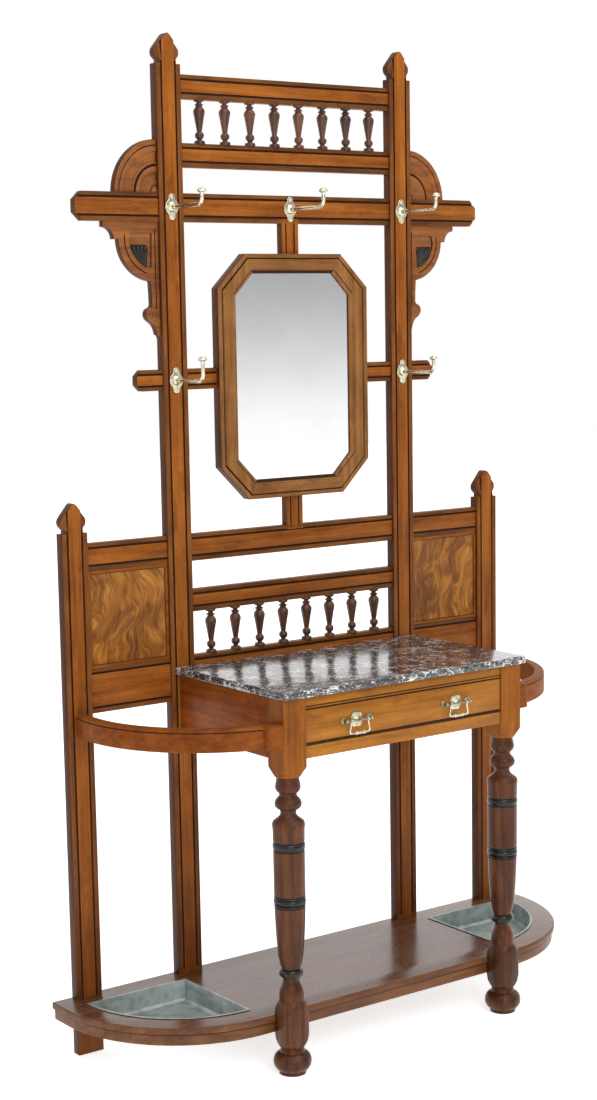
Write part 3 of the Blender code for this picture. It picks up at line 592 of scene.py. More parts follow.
def bar(name, points, widths):
    # a round bar through the points, each with its own radius
    chain(name, points)
    finishEdit()
    bpy.ops.object.convert(target="CURVE")
    piece = bpy.context.object
    piece.data.bevel_depth = 1.0
    piece.data.bevel_resolution = 3
    piece.data.use_fill_caps = True
    places = piece.data.splines[0].points
    if (places[0].co.to_3d() - Vector(points[0])).length > 0.0001:
        widths = widths[::-1]
    for place, width in zip(places, widths):
        place.radius = width
    bpy.ops.object.convert(target="MESH")
    edit(piece)
    return closeShape(piece)


def arc(centre, radius, first, last, steps):
    turns = [math.radians(first + (last - first) * step / steps) for step in range(steps + 1)]
    return [(centre[0] + radius * math.cos(t), centre[1] + radius * math.sin(t)) for t in turns]


def mirrored(points, side):
    return [(side * point[0], *point[1:]) for point in points]


def applied(piece, kind, **settings):
    choose(piece)
    modifier = piece.modifiers.new(kind.lower(), kind)
    for key, value in settings.items():
        setattr(modifier, key, value)
    bpy.ops.object.modifier_apply(modifier=modifier.name)
    return piece


def eased(piece, width=0.001, segments=2, angle=34):
    return applied(
        piece, "BEVEL", width=width, segments=segments, limit_method="ANGLE",
        angle_limit=math.radians(angle), use_clamp_overlap=True,
    )


def cutAway(piece, cutter, operation="DIFFERENCE"):
    applied(piece, "BOOLEAN", object=cutter, operation=operation, solver="EXACT")
    bpy.data.objects.remove(cutter, do_unlink=True)


def paint(piece, base, *zones):
    # the base finish all over, then each finish on the faces that pass its test
    piece.data.materials.clear()
    piece.data.materials.append(finishes[base])
    edit(piece)
    for finish, test in zones:
        piece.data.materials.append(finishes[finish])
        if pick(piece, test):
            piece.active_material_index = len(piece.data.materials) - 1
            bpy.ops.object.material_slot_assign()
    finishEdit()
    return piece


def joined(name, pieces):
    choose(pieces[0])
    for piece in pieces:
        piece.select_set(True)
    bpy.ops.object.join()
    pieces[0].name = name
    return pieces[0]


def copied(piece, name, shift):
    choose(piece)
    bpy.ops.object.duplicate()
    twin = bpy.context.object
    twin.name = name
    moveBy(shift)
    bpy.ops.object.transform_apply(location=True, rotation=False, scale=False)
    return twin


def keep(piece, body, slot, *nodes, smooth=38):
    # the finished piece moves with its body and stands for its CAD nodes
    choose(piece)
    bpy.ops.object.transform_apply(location=True, rotation=True, scale=True)
    bpy.ops.object.shade_smooth_by_angle(angle=math.radians(smooth))
    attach(piece, body)
    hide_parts(*nodes)


# Stiles

stiles = {
    "strip": 0.011, "groove": 0.004, "grooveDepth": 0.003, "grooveAbove": 0.006, "quirk": 0.0014,
    "backStep": 0.0007, "lobeAbove": 0.007, "lobeDrop": 0.0055, "easing": 0.0011,
    "grooveStart": {"inner": 0.018, "outer": 0.055}, "finialHeight": 0.062,
    "finial": (  # half-width and height above the shoulder
        (0.0200, 0.0), (0.0200, 0.0075), (0.0232, 0.0102), (0.0272, 0.0142), (0.0296, 0.0192),
        (0.0300, 0.0250), (0.0286, 0.0300), (0.0235, 0.0370), (0.0150, 0.0470), (0.0060, 0.0582),
        (0.0022, 0.0612),
    ),
}


def makeStile(place, hand):
    node = f"stile_{place}_{hand.lower()}"
    low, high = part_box(node)
    centre, half = (low.x + high.x) / 2, (high.x - low.x) / 2
    shoulder = high.z - stiles["finialHeight"]
    right = [(half, low.z), (half, shoulder)] + [(a, shoulder + up) for a, up in stiles["finial"]]
    outline = right + [(0, high.z)] + mirrored(right[::-1], -1)
    outline = [(centre + a, up) for a, up in outline]
    depth = high.y - low.y - stiles["backStep"]
    post = board(f"{place}Stile{hand}", upright2d(outline, low.y), (0, depth, 0))
    outer = half - stiles["strip"]
    inner = outer - stiles["groove"]
    grooveBottom = low.z + stiles["grooveStart"][place]
    grooveTop = shoulder + stiles["grooveAbove"]
    lobeBottom = shoulder + stiles["lobeAbove"]
    quirkEdge = inner + stiles["quirk"]

    def face(at, normal):
        return front(at, normal) and at.y < low.y + near

    def inGroove(at):
        return inner < abs(at.x - centre) < outer and grooveBottom < at.z < grooveTop

    def onLobe(at):
        return at.z > lobeBottom and abs(at.x - centre) > inner

    def inQuirk(at):
        deep = low.y + stiles["lobeDrop"] + near / 2
        return at.z > grooveTop and inner < abs(at.x - centre) < quirkEdge and at.y < deep

    edit(post)
    scribe(post, "Z", (grooveBottom, grooveTop), face)
    for edge, start, end in (
        (inner, grooveBottom, high.z), (outer, grooveBottom, grooveTop), (quirkEdge, grooveTop, high.z),
    ):
        scribe(post, "X", (centre - edge, centre + edge), lambda at, n: face(at, n) and start < at.z < end)
    pick(post, lambda at, n: face(at, n) and inGroove(at))
    extrude((0, stiles["grooveDepth"], 0))
    pick(
        post,
        lambda at: at.y < low.y + near and abs(at.x - centre) > inner + 0.0006 and at.z > lobeBottom + 0.002,
        "VERT",
    )
    moveBy((0, stiles["lobeDrop"], 0))
    pick(post, lambda at, n: onLobe(at) and n.y < -0.2)
    bpy.ops.mesh.quads_convert_to_tris(quad_method="BEAUTY", ngon_method="BEAUTY")
    finishEdit()
    paint(
        post, "walnutUpright",
        ("walnutEdge", lambda at, n: abs(at.x - centre) > outer and n.y < -0.5),
        # side faces and finial sides painted darker: painted shade
        ("walnutSide", lambda at, n: abs(n.x) > 0.6 or (at.z > lobeBottom and abs(n.y) < 0.3)),
        # groove floors painted dark: stain with painted shade
        ("grooveStainAndShade", lambda at, n: low.y + 0.0004 < at.y < low.y + 0.0034 and inGroove(at)),
        ("walnutEdge", lambda at, n: onLobe(at) and n.y < -0.1),
        # the quirks beside the finial painted dark: stain with painted shade
        ("grooveStainAndShade", lambda at, n: inQuirk(at)),
    )
    keep(eased(post, stiles["easing"]), "stand", "walnut", node)


for side, hand in hands:
    for place in ("inner", "outer"):
        makeStile(place, hand)
print("stiles made")


# Grooved rails, arms and hangers

rails = {
    "backStep": 0.0004, "grooveDepth": 0.003, "groove": 0.004, "fromBottom": 0.012, "fromTop": 0.010,
    "hookChamfer": 0.017, "armChamfer": 0.0125, "armFromBottom": 0.010,
}


def makeRail(node, name, ends=(True, True), chamfer=0.0, fromBottom=rails["fromBottom"]):
    # ends says which ends are seen: those are chamfered, the others tuck into a stile
    low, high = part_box(node)
    face, back, half = low.y, high.y - rails["backStep"], rails["groove"] / 2
    floor = face + rails["grooveDepth"]
    lowerLine, upperLine = low.z + fromBottom, high.z - rails["fromTop"]
    section = [(back, low.z), (face, low.z)]
    for line in (lowerLine, upperLine):
        section += [(face, line - half), (floor, line - half), (floor, line + half), (face, line + half)]
    section += [(face, high.z), (back, high.z)]
    piece = board(name, [(low.x, y, z) for y, z in section], (high.x - low.x, 0, 0))
    edit(piece)
    for end, out, shown in zip((low.x, high.x), (-1, 1), ends):
        if not shown or not chamfer:
            continue
        for top, up in ((high.z, 1), (low.z, -1)):
            pickAll()
            bpy.ops.mesh.bisect(
                plane_co=(end, 0, top - up * chamfer), plane_no=(out, 0, up), use_fill=True, clear_outer=True,
            )
    finishEdit()

    def inGroove(at, normal):
        deep = face + 0.0005 < at.y < floor + 0.0005
        return deep and low.z + 0.004 < at.z < high.z - 0.004 and abs(normal.x) < 0.4

    paint(
        piece, "walnutRail",
        ("walnutStrip", lambda at, n: not lowerLine < at.z < upperLine and n.y < 0.5),
        ("walnutEnd", lambda at, n: abs(n.x) > 0.4),
        # rail grooves painted dark: stain with painted shade
        ("grooveStainAndShade", inGroove),
    )
    keep(eased(piece), "stand", "walnut", node)


for node, name in (
    ("top_rail", "topRail"), ("upper_gallery_rail", "upperGalleryRail"),
    ("lower_gallery_rail", "lowerGalleryRail"), ("waist_rail", "waistRail"), ("base_rail", "baseRail"),
):
    makeRail(node, name)
makeRail("hook_rail", "hookRail", chamfer=rails["hookChamfer"])
for side, hand in hands:
    makeRail(
        f"mirror_arm_{hand.lower()}", f"mirrorArm{hand}", (side < 0, side > 0),
        rails["armChamfer"], rails["armFromBottom"],
    )

hangers = {
    "grooveInner": 0.0095, "grooveOuter": 0.0125, "grooveDepth": 0.002, "stop": 0.006, "backStep": 0.0008,
}
for place in ("upper", "lower"):
    node = f"mirror_hanger_{place}"
    low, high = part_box(node)
    hanger = block(f"mirrorHanger{place.title()}", low, high - Vector((0, hangers["backStep"], 0)))
    inner, outer, middle = hangers["grooveInner"], hangers["grooveOuter"], (low.z + high.z) / 2
    edit(hanger)
    scribe(hanger, "X", (-outer, -inner, inner, outer), front)
    scribe(hanger, "Z", (low.z + hangers["stop"], high.z - hangers["stop"]), front)
    pick(hanger, lambda at, n: front(at, n) and inner < abs(at.x) < outer and abs(at.z - middle) < 0.03)
    extrude((0, hangers["grooveDepth"], 0))
    finishEdit()
    paint(
        hanger, "walnutUpright",
        # the hanger's outer sides painted darker: painted shade
        ("walnutSide", lambda at, n: abs(n.x) > 0.6 and abs(at.x) > 0.02),
        # hanger grooves painted dark: stain with painted shade
        ("grooveStainAndShade", lambda at, n: low.y + 0.0005 < at.y < low.y + 0.0025 and 0.009 < abs(at.x) < 0.013),
    )
    keep(eased(hanger), "stand", "walnut", node)
print("rails made")


# Gallery spindles

spindles = {
    "count": 8, "steps": 20, "peg": 0.001,
    "shape": (  # radius and share of the height
        (0.0, 1.0), (0.0105, 1.0), (0.0112, 0.985), (0.0112, 0.962), (0.0100, 0.950), (0.0062, 0.942),
        (0.0054, 0.925), (0.0056, 0.905), (0.0084, 0.895), (0.0096, 0.880), (0.0092, 0.866),
        (0.0070, 0.856), (0.0066, 0.842), (0.0086, 0.818), (0.0113, 0.782), (0.0125, 0.745),
        (0.0125, 0.715), (0.0118, 0.675), (0.0104, 0.600), (0.0088, 0.500), (0.0072, 0.400),
        (0.0060, 0.320), (0.0054, 0.288), (0.0056, 0.272), (0.0080, 0.256), (0.0095, 0.226),
        (0.0098, 0.190), (0.0090, 0.155), (0.0070, 0.130), (0.0054, 0.118), (0.0052, 0.100),
        (0.0058, 0.090), (0.0098, 0.080), (0.0114, 0.066), (0.0117, 0.045), (0.0117, 0.0), (0.0, 0.0),
    ),
}
for row, under, over in (
    ("upper", "upper_gallery_rail", "top_rail"), ("lower", "base_rail", "lower_gallery_rail"),
):
    bottom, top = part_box(under)[1].z - spindles["peg"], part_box(over)[0].z + spindles["peg"]
    pattern = None
    for number in range(1, spindles["count"] + 1):
        low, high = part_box(f"{row}_spindle_{number}")
        centre = ((low.x + high.x) / 2, (low.y + high.y) / 2, bottom)
        name = f"{row}Spindle{number}"
        if pattern is None:
            profile = [(radius, share * (top - bottom)) for radius, share in spindles["shape"]]
            pattern = piece = turned(name, profile, centre, steps=spindles["steps"])
            paint(piece, "walnutSpindle")
            firstCentre = Vector(centre)
        else:
            piece = copied(pattern, name, Vector(centre) - firstCentre)
        keep(piece, "stand", "dark_walnut", f"{row}_spindle_{number}", smooth=50)
print("spindles made")


# Mirror

mirror = {
    "half": 0.2015, "bottom": 1.1565, "top": 1.6855, "corner": 0.073, "plateCorner": 0.0500,
    "frontStep": 0.001, "rebate": 0.038, "lip": 0.0030,
    "steps": (  # width of each band from the outside in, and how far it then steps back
        (0.0015, -0.0010), (0.0075, 0.0), (0.0006, 0.0024), (0.0026, 0.0), (0.0006, -0.0024),
        (0.0010, -0.0008), (0.0180, 0.0), (0.0010, 0.0012), (0.0030, 0.0), (0.0008, 0.0020),
        (0.0020, 0.0), (0.0070, 0.0030),
    ),
    "squeezeX": 0.9985, "squeezeZ": 1.0012,
    "boardLines": (-0.055, -0.053, 0.053, 0.055), "boardMargin": 0.006, "boardField": 0.0015,
}


def octagon(half, bottom, top, corner, y):
    right = [(half - corner, bottom), (half, bottom + corner), (half, top - corner), (half - corner, top)]
    return upright2d(right + mirrored(right[::-1], -1), y)


def makeSurround():
    low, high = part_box("mirror_frame")
    middle = ((low.x + high.x) / 2, 0, (low.z + high.z) / 2)
    face = low.y + mirror["frontStep"]
    outline = octagon(mirror["half"], mirror["bottom"], mirror["top"], mirror["corner"], face)
    piece = board("mirrorSurround", outline, (0, high.y - face, 0))
    edit(piece)
    pick(piece, front)
    for width, back in mirror["steps"]:
        inset(width)
        bpy.ops.transform.resize(value=(mirror["squeezeX"], 1, mirror["squeezeZ"]), center_override=middle)
        moveBy((0, back, 0))
    extrude((0, mirror["lip"], 0))
    bpy.ops.mesh.delete(type="ONLY_FACE")
    pick(piece, lambda at, n: rear(at, n) and at.y > high.y - near)
    inset(mirror["rebate"])
    bpy.ops.mesh.delete(type="ONLY_FACE")
    # the two open rims are bridged to line the opening
    bpy.ops.mesh.select_mode(type="EDGE")
    bpy.ops.mesh.select_all(action="DESELECT")
    bpy.ops.mesh.select_non_manifold()
    bpy.ops.mesh.bridge_edge_loops()
    turnOut()
    finishEdit()
    edges = [sum(w for w, b in mirror["steps"][:count]) for count in range(len(mirror["steps"]) + 1)]
    halfHeight = (mirror["top"] - mirror["bottom"]) / 2

    def inward(at):
        # how far in from the outer edge a place is
        x, z = abs(at.x), abs(at.z - middle[2])
        corner = (x + z - mirror["half"] - halfHeight + mirror["corner"]) / math.sqrt(2)
        return -max(x - mirror["half"], z - halfHeight, corner)

    def band(deep, first, last):
        return lambda at, n: at.y > face + deep and first < inward(at) < last

    paint(
        piece, "walnutFrame",
        ("walnutFrameLevel", lambda at, n: abs(at.x) < 0.01),
        # the frame's outer sides painted darker: painted shade
        ("walnutSide", lambda at, n: n.y > -0.3 and inward(at) < 0.002 and at.y < high.y - 0.0005),
        # the frame's grooves painted dark: stain with painted shade
        ("grooveStainAndShade", band(0.0002, edges[2] - 0.0008, edges[5] + 0.0006)),
        ("grooveStainAndShade", band(0.0014, edges[9] - 0.0002, edges[11] + 0.0012)),
        # the lining of the opening beside the glass painted darker: painted shade
        ("walnutSide", band(0.0030, edges[11] + 0.0012, 1)),
    )
    keep(eased(piece, 0.0007, 2, 25), "stand", "dark_walnut", "mirror_frame")


def plateBoard(name, node):
    low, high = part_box(node)
    outline = octagon((high.x - low.x) / 2, low.z, high.z, mirror["plateCorner"], low.y)
    return board(name, outline, (0, high.y - low.y, 0))


makeSurround()
glass = plateBoard("mirrorGlass", "mirror_plate")
paint(glass, "silvering", ("dealBacking", lambda at, n: n.y > 0.5))
keep(eased(glass, 0.0015, 2, 50), "stand", "mirror", "mirror_plate", smooth=20)

backing = plateBoard("mirrorBacking", "mirror_back_board")
edit(backing)
scribe(backing, "X", mirror["boardLines"], rear)
pick(backing, rear)
inset(mirror["boardMargin"])
moveBy((0, mirror["boardField"], 0))
finishEdit()
paint(backing, "dealBacking")
keep(eased(backing, 0.0005, 1), "stand", "deal", "mirror_back_board")
print("mirror made")


# Brackets

brackets = {
    "front": 0.0080, "thick": 0.0158, "root": 0.336, "reach": 0.1050, "rise": 0.1090, "cornice": 0.470,
    "steps": 20, "tuck": 0.002, "lobeCentre": (0.345, 1.716), "lobeRadius": 0.0890,
    "spandrelDepth": 0.0045, "quirkDepth": 0.0018, "edgeDepth": 0.0014,
    "toe": (  # the profile below the curve, down to the tip
        (0.3580, 1.6270), (0.3565, 1.5990), (0.3560, 1.5800), (0.3590, 1.5745), (0.3640, 1.5725),
        (0.3690, 1.5690), (0.3718, 1.5635), (0.3720, 1.5575), (0.3698, 1.5515), (0.3655, 1.5468),
        (0.3600, 1.5430), (0.3555, 1.5395), (0.3515, 1.5345), (0.3480, 1.5270), (0.3462, 1.5215),
        (0.3455, 1.5170), (0.3400, 1.5150), (0.3390, 1.5100),
    ),
    "fan": (  # share of the radius, and depth behind the board's face
        (0.0, -0.0010), (0.06, -0.0008), (0.10, 0.0000), (0.13, 0.0014), (0.145, 0.0030),
        (0.165, 0.0030), (0.185, 0.0010), (0.205, 0.0004), (0.225, 0.0012), (0.24, 0.0032),
        (0.26, 0.0044), (0.33, 0.0040), (0.385, 0.0028), (0.405, 0.0012), (0.425, -0.0002),
        (0.455, -0.0010), (0.485, -0.0004), (0.505, 0.0014), (0.512, 0.0044), (0.535, 0.0046),
        (0.545, 0.0030), (0.555, 0.0012), (0.575, 0.0006), (0.592, 0.0016), (0.60, 0.0036),
        (0.68, 0.0042), (0.765, 0.0036), (0.775, 0.0018), (0.79, 0.0006), (0.82, -0.0006),
        (0.855, -0.0004), (0.875, 0.0008), (0.88, 0.0030), (0.895, 0.0030), (0.90, 0.0008),
        (0.915, 0.0), (0.98, 0.0), (0.992, 0.0006), (1.0, 0.0024),
    ),
    "leafRoot": (0.3662, 1.6575),
    "lobes": (  # lean in degrees, and length
        (88, 0.0445), (76, 0.0465), (64, 0.0490), (52, 0.0530), (41, 0.0560),
    ),
    "boss": (
        (0.0, -0.0022), (0.0020, -0.0020), (0.0036, -0.0010), (0.0042, 0.0), (0.0060, 0.0006),
        (0.0066, -0.0002), (0.0076, 0.0), (0.0082, 0.0012), (0.0082, 0.004), (0.0, 0.004),
    ),
    "bossAt": (0.3605, 1.5585),
    "lobe": (  # radius along one lobe
        (0.0, 0.0), (0.0008, 0.02), (0.0018, 0.25), (0.0036, 0.60), (0.0046, 0.78), (0.0034, 0.92),
        (0.0010, 0.99), (0.0, 1.0),
    ),
}


def makeFan(side, hand, face, foot):
    # the turned fan above the rail: its section is swept a quarter turn, then raised to its height
    reach, rise = brackets["reach"], brackets["rise"] + brackets["tuck"]
    section = [(share * reach, deep) for share, deep in brackets["fan"]]
    section += [(reach, brackets["thick"]), (0.0, brackets["thick"])]
    centre = Vector((side * brackets["root"], face, foot))
    fan = sheetOf(f"fan{hand}", [centre + Vector((side * radius, deep, 0)) for radius, deep in section])
    bpy.ops.mesh.spin(steps=brackets["steps"], angle=math.radians(90 * side), center=centre, axis=(0, 1, 0))
    pickAll()
    bpy.ops.transform.resize(value=(1, 1, rise / reach), center_override=centre)
    closeShape(fan)

    def ring(deep, first, last):
        def test(at, normal):
            share = math.hypot((at.x - centre.x) / reach, (at.z - centre.z) / rise)
            return at.y > face + deep and first < share < last and normal.y < 0.5
        return test

    return paint(
        fan, "walnutCarved",
        # the fan's outer thickness painted darker: painted shade
        ("walnutSide", lambda at, n: ring(-1, 0.985, 2)(at, n) and abs(n.y) < 0.5),
        # the fan's two grooves painted dark: stain with painted shade
        ("grooveStainAndShade", ring(0.0026, 0.505, 0.55)),
        ("grooveStainAndShade", ring(0.0022, 0.874, 0.902)),
        ("walnutEnd", ring(0.0022, 0.14, 0.24)),
    )


def makeCorbel(side, hand, face, under):
    # the fretted board below the rail, with a sunk spandrel and quirks that follow its edges
    root, cornice, centre = brackets["root"], brackets["cornice"], brackets["lobeCentre"]
    outline = [(root, under), (cornice, under), (cornice, 1.7395)]
    outline += arc((cornice, 1.714), 0.0250, 90, 180, 6) + arc(centre, brackets["lobeRadius"], -1, -80, 16)
    outline += [*brackets["toe"], (root, brackets["toe"][-1][1])]
    piece = board(f"corbel{hand}", upright2d(mirrored(outline, side), face), (0, brackets["thick"], 0))
    sunk = [(0.3535, 1.7275), (0.4040, 1.7275)] + arc(centre, 0.0640, -2, -68, 10) + [(0.3560, 1.6560)]
    quirk = arc(centre, 0.0760, 6, -72, 14) + arc(centre, 0.0735, -72, 6, 14)
    edge = [(0.3450, 1.7350), (0.3472, 1.7350), (0.3472, 1.5700), (0.3450, 1.5700)]
    ahead = 0.004  # each cutter starts this far in front
    for shape, depth in (
        (sunk, brackets["spandrelDepth"]), (quirk, brackets["quirkDepth"]), (edge, brackets["edgeDepth"]),
    ):
        cutter = board("cutter", upright2d(mirrored(shape, side), face - ahead), (0, depth + ahead, 0))
        cutAway(piece, cutter)
    paint(
        piece, "walnutCarved",
        # the board's cut sides painted darker: painted shade
        ("walnutSide", lambda at, n: abs(n.y) < 0.5 and at.y > face + 0.006),
        # quirk floors and the walls of the sunk parts painted dark: stain with painted shade
        ("grooveStainAndShade", lambda at, n: face + 0.0002 < at.y < face + 0.0022),
        ("grooveStainAndShade", lambda at, n: abs(n.y) < 0.5 and face + 0.0022 < at.y < face + 0.0040),
    )
    return eased(piece, 0.0009, 2, 40)


def makeLeaf(side, floor):
    # a black ground with tapering lobes that fan up from its tip
    x, z = brackets["leafRoot"]
    leaf = [(x, z), (x - 0.0012, z + 0.003), (x - 0.0012, 1.7030), (0.4040, 1.7030)]
    leaf += arc(brackets["lobeCentre"], 0.0605, -14, -66, 8)
    ground = board("leaf", upright2d(mirrored(leaf, side), floor - 0.0012), (0, 0.0020, 0))
    pieces = [paint(ground, "ebonised")]
    for lean, length in brackets["lobes"]:
        profile = [(radius, share * length) for radius, share in brackets["lobe"]]
        lobe = turned("lobe", profile, (0, 0, 0), "X", 12)
        choose(lobe)
        lobe.scale = (1, 0.6, 1)
        lobe.rotation_euler = (0, -math.radians(lean if side > 0 else 180 - lean), 0)
        bpy.ops.object.transform_apply(location=False, rotation=True, scale=True)
        lobe.location = (side * x, floor - 0.0014, z)
        bpy.ops.object.transform_apply(location=True, rotation=False, scale=False)
        pieces.append(paint(lobe, "ebonised"))
    return pieces


def makeBracket(side, hand):
    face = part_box("stile_inner_left")[0].y + brackets["front"]
    railLow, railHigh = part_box("hook_rail")
    tuck = brackets["tuck"]
    fan = makeFan(side, hand, face, railHigh.z - tuck)
    corbel = makeCorbel(side, hand, face, railLow.z + tuck)
    leaf = makeLeaf(side, face + brackets["spandrelDepth"])
    x, z = brackets["bossAt"]
    boss = paint(turned("boss", brackets["boss"], (side * x, face, z), "Y", 24), "walnutCarved")
    bracket = joined(f"bracket{hand}", [fan, corbel, *leaf, boss])
    keep(bracket, "stand", "walnut", f"bracket_{hand.lower()}", smooth=42)


for side, hand in hands:
    makeBracket(side, hand)
print("brackets made")


# Burr panels

panels = {
    "inset": 0.003, "backMargin": 0.016, "backBevel": 0.006, "backSunk": 0.002,
    "steps": ((0.0058, 0), (0.0005, -0.0007), (0.0012, 0), (0.0019, 0.0026)),  # width, and how far it sinks
}
for side, hand in hands:
    node = f"burr_panel_{hand.lower()}"
    low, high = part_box(node)
    smaller = Vector((panels["inset"], 0, panels["inset"]))
    panel = block(f"burrPanel{hand}", low + smaller, high - smaller)
    middle, span = (low + high) / 2, (high - low) / 2 - smaller
    edit(panel)
    pick(panel, front)
    for width, back in panels["steps"]:
        inset(width)
        moveBy((0, back, 0))
    pick(panel, rear)
    inset(panels["backMargin"])
    inset(panels["backBevel"])
    moveBy((0, -panels["backSunk"], 0))
    finishEdit()
    field = sum(width for width, back in panels["steps"])

    def inward(at):
        return min(span.x - abs(at.x - middle.x), span.z - abs(at.z - middle.z))

    paint(
        panel, "burrVeneer",
        ("walnutRail", lambda at, n: n.y < 0.2 and inward(at) < field - panels["steps"][-1][0]),
        ("walnutEnd", lambda at, n: n.y < 0.2 and field - panels["steps"][-1][0] < inward(at) < field),
        ("walnutRail", lambda at, n: n.y > 0.2),
    )
    keep(eased(panel, 0.0004, 2, 30), "stand", "burr", node)
print("burr panels made")


# Hooks

hooks = {
    "body": 0.0165, "bodySweep": 52, "lobe": 0.0082, "lobeAt": 0.0190, "lobeSweep": 104, "plate": 0.0028,
    "centreUp": 0.0264, "tipOut": 0.0095, "arm": 0.0042, "bend": 0.015, "root": 0.030, "collarOut": 0.0180,
    "screwIn": 0.007, "neck": 0.0150,
    "button": (
        (0.0, 0.0), (0.0040, -0.0006), (0.0075, -0.0022), (0.0094, -0.0046), (0.0095, -0.0062),
        (0.0084, -0.0078), (0.0058, -0.0092), (0.0044, -0.0108), (0.0040, -0.0132), (0.0046, -0.0146),
        (0.0046, -0.0156), (0.0, -0.0160),
    ),
    "boss": (
        (0.0, -0.0100), (0.0034, -0.0100), (0.0040, -0.0085), (0.0044, -0.0060), (0.0062, -0.0042),
        (0.0082, -0.0034), (0.0092, -0.0024), (0.0100, -0.0012), (0.0108, 0.0), (0.0108, 0.0010),
        (0.0, 0.0010),
    ),
    "screw": ((0.0, -0.0016), (0.0018, -0.0014), (0.0032, -0.0006), (0.0036, 0.0004), (0.0, 0.0004)),
    "collar": ((0.0, -0.0022), (0.0044, -0.0018), (0.0054, 0.0), (0.0044, 0.0018), (0.0, 0.0022)),
}


def makeHook(node, name):
    low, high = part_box(node)
    centre, height = (low.x + high.x) / 2, low.z + hooks["centreUp"]
    back, tip, top = high.y, low.y + hooks["tipOut"], high.z
    half, turn = hooks["bodySweep"], hooks["lobeSweep"]
    outline = arc((0, 0), hooks["body"], -half, half, 10)
    outline += arc((0, hooks["lobeAt"]), hooks["lobe"], 90 - turn, 90 + turn, 12)
    outline += arc((0, 0), hooks["body"], 180 - half, 180 + half, 10)
    outline += arc((0, -hooks["lobeAt"]), hooks["lobe"], 270 - turn, 270 + turn, 12)
    outline = [(centre + x, height + z) for x, z in outline]
    face = back - hooks["plate"]
    plate = eased(board("plate", upright2d(outline, face), (0, hooks["plate"], 0)), 0.0010, 3, 40)
    boss = turned("boss", hooks["boss"], (centre, face, height), "Y", 28)
    screwUp = hooks["lobeAt"] + hooks["lobe"] * 0.9 - hooks["screwIn"]
    screws = [
        turned("screw", hooks["screw"], (centre, face, height + up), "Y", 18) for up in (-screwUp, screwUp)
    ]
    bend = hooks["bend"]
    curve = arc((tip + bend, bend), bend, -90, -176, 8)
    route = [(centre, back - 0.004, height), (centre, back - hooks["root"], height)]
    route += [(centre, y, height + z) for y, z in curve]
    route.append((centre, tip, top - hooks["neck"]))
    arm = bar("arm", route, [0.0050, 0.0044] + [hooks["arm"]] * len(curve) + [0.0040])
    button = turned("button", hooks["button"], (centre, tip, top - 0.0002), "Z", 28)
    collar = turned("collar", hooks["collar"], (centre, back - hooks["collarOut"], height), "Y", 22)
    hook = joined(name, [plate, boss, *screws, arm, button, collar])
    keep(paint(hook, "palebrass"), "stand", "brass", node, smooth=50)


for node, name in (
    ("hook_upper_left", "hookUpperLeft"), ("hook_upper_middle", "hookUpperMiddle"),
    ("hook_upper_right", "hookUpperRight"), ("hook_lower_left", "hookLowerLeft"),
    ("hook_lower_right", "hookLowerRight"),
):
    makeHook(node, name)
print("hooks made")


# Front legs

